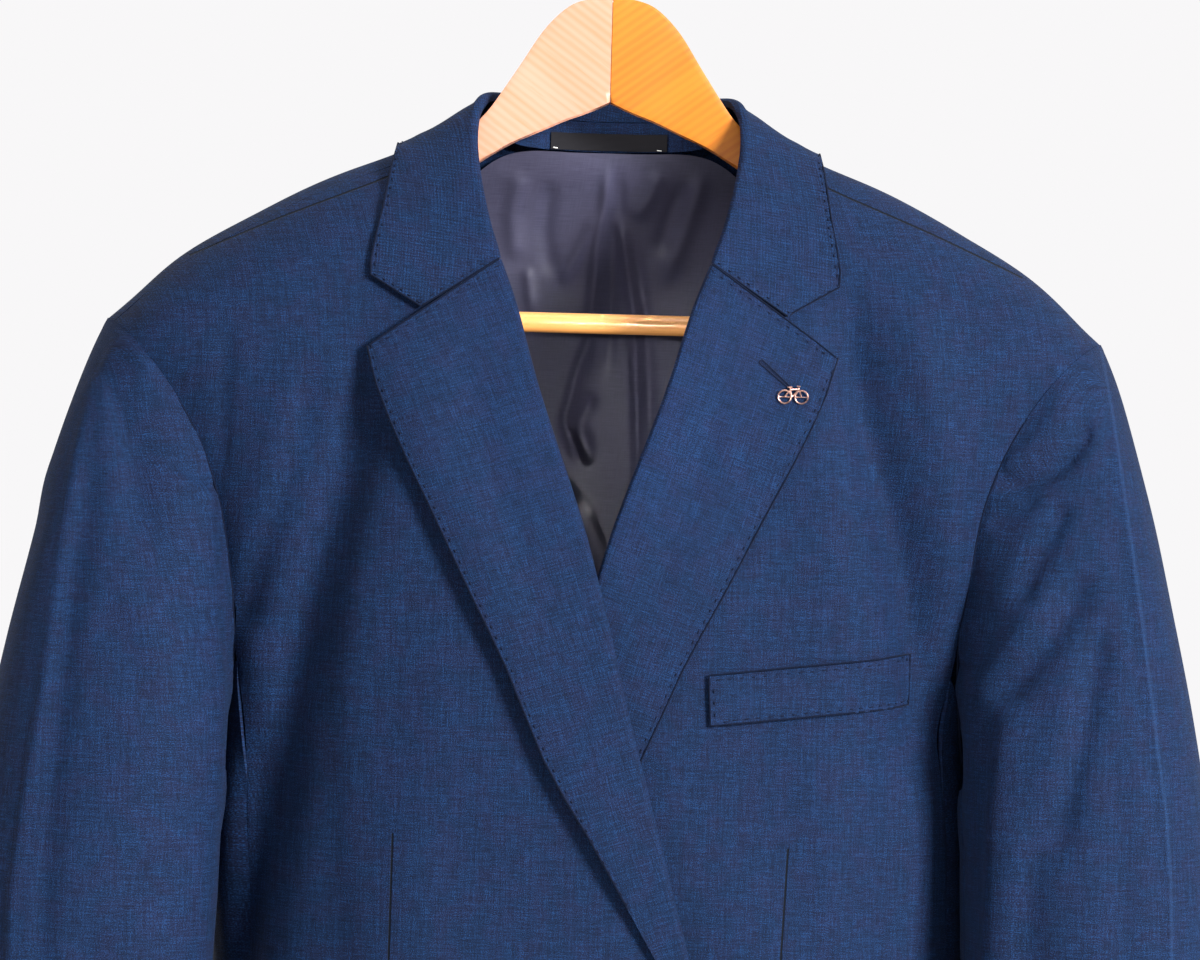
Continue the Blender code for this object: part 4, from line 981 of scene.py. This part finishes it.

# %% [markdown]
# A stitch is a short thread that stands a little proud of the cloth. It draws the cloth
# in, so a small dimple runs from each one away from the edge. Along the edge itself one
# more dark thread, just behind the rim, is painted shade: the shadow under the edge.

# %% Pick stitches and the painted edge shadow
STITCH_PITCH, STITCH_INSET, STITCH_LONG = 6.0 * MM, 2.2 * MM, 1.5 * MM
STITCH_THICK, STITCH_PROUD = 0.3 * MM, 0.12
DIMPLE_LONG, DIMPLE_WIDE, DIMPLE_DEEP = 5.5 * MM, 1.4 * MM, 0.45 * MM
EDGE_OUT, EDGE_BEHIND, EDGE_THICK, EDGE_TRIM = 0.2, 0.5, 0.5 * MM, 0.1


def stitch_line(piece, path):
    """Short stitches along a path, laid on the piece's finished surface. Each draws the
    cloth in: a small dimple runs from it into the cloth."""
    tree = surface_of(piece)
    stitches, dimples, left = [], [], STITCH_PITCH / 2
    for (a, into_a), (b, into_b) in zip(path, path[1:]):
        length = (b - a).length
        while left < length:
            share = left / length
            into = into_a.lerp(into_b, share).normalized()
            place, normal = tree.find_nearest(a.lerp(b, share) + into * STITCH_INSET)[:2]
            ahead = (b - a).normalized() * (STITCH_LONG / 2)
            rise = normal * STITCH_PROUD * MM
            stitches.append([place - ahead, place + rise, place + ahead])
            dimples.append((place, into, normal))
            left += STITCH_PITCH
        left -= length
    points = points_of(piece.data)
    for place, into, normal in dimples:
        off = points - np.array(place)
        along = np.clip(off @ np.array(into), -0.4 * STITCH_INSET, DIMPLE_LONG)
        away = np.linalg.norm(off - np.outer(along, into), axis=1)
        depth = DIMPLE_DEEP * np.exp(-(away / DIMPLE_WIDE) ** 2) * (1 - along / DIMPLE_LONG * 0.8)
        points -= np.outer(depth, normal)
    move_points(piece.data, points)
    return stitches


def edge_lines(piece, chains):
    """The paths of a piece's rim on its finished surface, on the side of the body."""
    tree = surface_of(piece)
    lines = []
    for chain in chains:
        line = []
        (first, a), (last, b) = chain[0], chain[-1]
        start = first.lerp(chain[1][0], EDGE_TRIM)
        end = last.lerp(chain[-2][0], EDGE_TRIM)
        for point, into in ((start, a), *chain[1:-1], (end, b)):
            place = tree.find_nearest(point)[0]
            behind = (NECK_AXIS - place).normalized() * EDGE_BEHIND * MM
            line.append(place - into * EDGE_OUT * MM + behind)
        lines.append(line)
    return lines


stitches, edges = [], []
for node, chains in RIMS.items():
    edges += edge_lines(cloth[node], chains)
    stitches += [stitch for path in chains for stitch in stitch_line(cloth[node], path)]
thread("pick_stitches", stitches, STITCH_THICK, NAVY_THREAD)
# Painted shade: a dark cord just behind the rim stands for the shadow under the edge.
thread("edge_shadow_cord", edges, EDGE_THICK, SHADE_CORD)
print("stitches:", len(stitches), "edge lines:", len(edges))

# %% [markdown]
# The lapel's buttonhole is worked by hand: close thread round a slit, with a round eye
# towards the edge of the collar. The button would lie on the other side, so nothing goes
# through it; the pin sits at its lower end.

# %% Lapel buttonhole
EYE, SLIT_END = Vector((79.8, 0, -247.6)) * MM, Vector((94.6, 0, -260.4)) * MM
EYE_ROUND, SLIT_ROUND, END_BAR, BAR = 1.15 * MM, 0.55 * MM, 1.5 * MM, 1.05 * MM
EDGE_POINTS, BARS = 44, 26
INTO_PICTURE = Vector((0, 1, 0))
lapel_tree = surface_of(cloth["lapel_right"])


def on_lapel(x, z, rise):
    """Point above the front of the right lapel."""
    place, normal = lapel_tree.ray_cast(Vector((x, -0.5, z)), INTO_PICTURE)[:2]
    return place + normal * rise


slit = (SLIT_END - EYE).normalized()
beside = Vector((-slit.z, 0, slit.x))
outline = []
for k in range(EDGE_POINTS):
    turn = 2 * math.pi * k / EDGE_POINTS
    middle, wide = (EYE, EYE_ROUND) if math.cos(turn) < 0 else (SLIT_END, SLIT_ROUND)
    point = middle + slit * math.cos(turn) * wide + beside * math.sin(turn) * wide
    outline.append(on_lapel(point.x, point.z, 0.15 * MM))
thread("buttonhole_edge", [outline], 0.42 * MM, NAVY_THREAD, closed=True, sides=2)
bars = []
for k in range(BARS):
    middle = EYE.lerp(SLIT_END, k / (BARS - 1))
    half = beside * (BAR if k else END_BAR)
    bars.append([on_lapel(p.x, p.z, 0.1 * MM) for p in (middle - half, middle, middle + half)])
thread("buttonhole_stitches", bars, 0.2 * MM, NAVY_THREAD)
print("buttonhole", round((SLIT_END - EYE).length / MM, 1), "mm long")

# %% [markdown]
# A few white stitches hold the label at its lower corners. In the middle of the hanger
# the two arms are glued, and the glue line shows.

# %% Label stitches and glue line
front_of_label = surface_of(label)
CORNERS = (-28.2, -135.2), (26.4, -135.4)
tacks = []
for x, z in CORNERS:
    starts = [Vector(((x + dx) * MM, -0.2, (z + dz) * MM))
              for dx, dz in ((-1.1, 0.2), (0.0, 0.0), (1.2, -0.1))]
    tacks.append([front_of_label.ray_cast(start, INTO_PICTURE)[0] + Vector((0, -0.25 * MM, 0))
                  for start in starts])
thread("label_tacks", tacks, 0.3 * MM, WHITE_THREAD)

GLUE_SIZE, GLUE_MIDDLE = (0.34 * MM, 12.4 * MM, 49.0 * MM), (0, 0, -86.1 * MM)
work = bmesh.new()
bmesh.ops.create_cube(work, size=1.0)
bmesh.ops.scale(work, verts=work.verts, vec=GLUE_SIZE)
bmesh.ops.translate(work, verts=work.verts, vec=GLUE_MIDDLE)
glue = object_from(work, "hanger_glue")
glue.data.materials.append(thread_paint("glue_line", rgb(150, 92, 40), rgb(180, 116, 58), 0.5))
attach(glue, "root")
print("label stitches:", len(tacks), "glue line", round(GLUE_SIZE[2] / MM), "mm high")

# %% [markdown]
# Every panel is cut flat from the bolt before it is sewn. The sleeves are cut in two, a
# wide top sleeve and a narrow under sleeve.

# %% [markdown]
# The jacket hangs in the air from its hook, before nothing. A pale floor lies below it
# and stays out of the picture. The light is soft: a pale room all round, dimmer in front.

# %% Floor and room
FLOOR_Z, FLOOR_RADIUS = -0.96, 1.6
work = bmesh.new()
bmesh.ops.create_circle(work, cap_ends=True, segments=96, radius=FLOOR_RADIUS,
                        matrix=Matrix.Translation((0, 0, FLOOR_Z)))
floor = object_from(work, "floor")
floor_paint, wire = new_material("floor_paint")
grain = speckle(wire, 40.0)
finish_with(wire, Base_Color=grain.mix(rgb(226, 226, 224), rgb(232, 232, 231)), Roughness=0.8)
floor.data.materials.append(floor_paint)

ROOM_FRONT, ROOM_BACK = rgb(152, 154, 162), rgb(248, 247, 248)
world = bpy.data.worlds.new("pale_room")
bpy.context.scene.world = world
world.use_nodes = True
x, y, z = Wire(world.node_tree).node("TexCoord", out=GENERATED).parts()
glow = y.fade(-0.7, 0.7).mix(ROOM_FRONT, ROOM_BACK)
world.node_tree.links.new(glow.socket, world.node_tree.nodes["Background"].inputs["Color"])
bpy.context.scene.view_settings.view_transform = "Standard"

# %% [markdown]
# A large lamp from the viewer's right models the folds, and a weak one from the left
# keeps their far sides from going black. A narrow beam reaches in at the neck, a small
# lamp inside the collar lights the label and the top of the lining, and one overhead
# touches the shoulders. The camera stands back with a long lens, tilted a little.

# %% Lamps and camera
LAMPS = [  # name, place, aim, size in metres, watts, spread in degrees
    ("key", (3.3, -3.9, 0.9), (0, 0, -0.4), 1.4, 680, 180),
    ("fill", (-3.2, -4.0, 0.7), (0, 0, -0.4), 1.6, 45, 180),
    ("neck", (0.0, -2.4, -0.24), (0.03, 0.05, -0.265), 0.05, 0.038, 6),
    ("nape", (0, 0.018, -0.125), (0, 0.06, -0.137), 0.06, 0.015, 180),
    ("top", (0.2, -0.5, 1.5), (0, 0, -0.3), 0.8, 14, 180),
]
for name, place, aim, size, watts, spread in LAMPS:
    light = bpy.data.lights.new(name, "AREA")
    light.size, light.energy, light.spread = size, watts, math.radians(spread)
    lamp = add_object(name, light)
    lamp.location = place
    lamp.rotation_euler = (Vector(aim) - Vector(place)).to_track_quat("-Z", "Y").to_euler()

CAMERA_PLACE = (0.0, -2.595, -0.309)
CAMERA_ROLL = math.radians(-1.55)
lens = bpy.data.cameras.new("camera")
lens.lens, lens.sensor_width = 150, 36
camera = add_object("camera", lens)
camera.location = CAMERA_PLACE
camera.rotation_euler = (math.radians(90), CAMERA_ROLL, 0)
bpy.context.scene.camera = camera
print("lamps:", len(LAMPS), "camera looks along +Y from", CAMERA_PLACE)
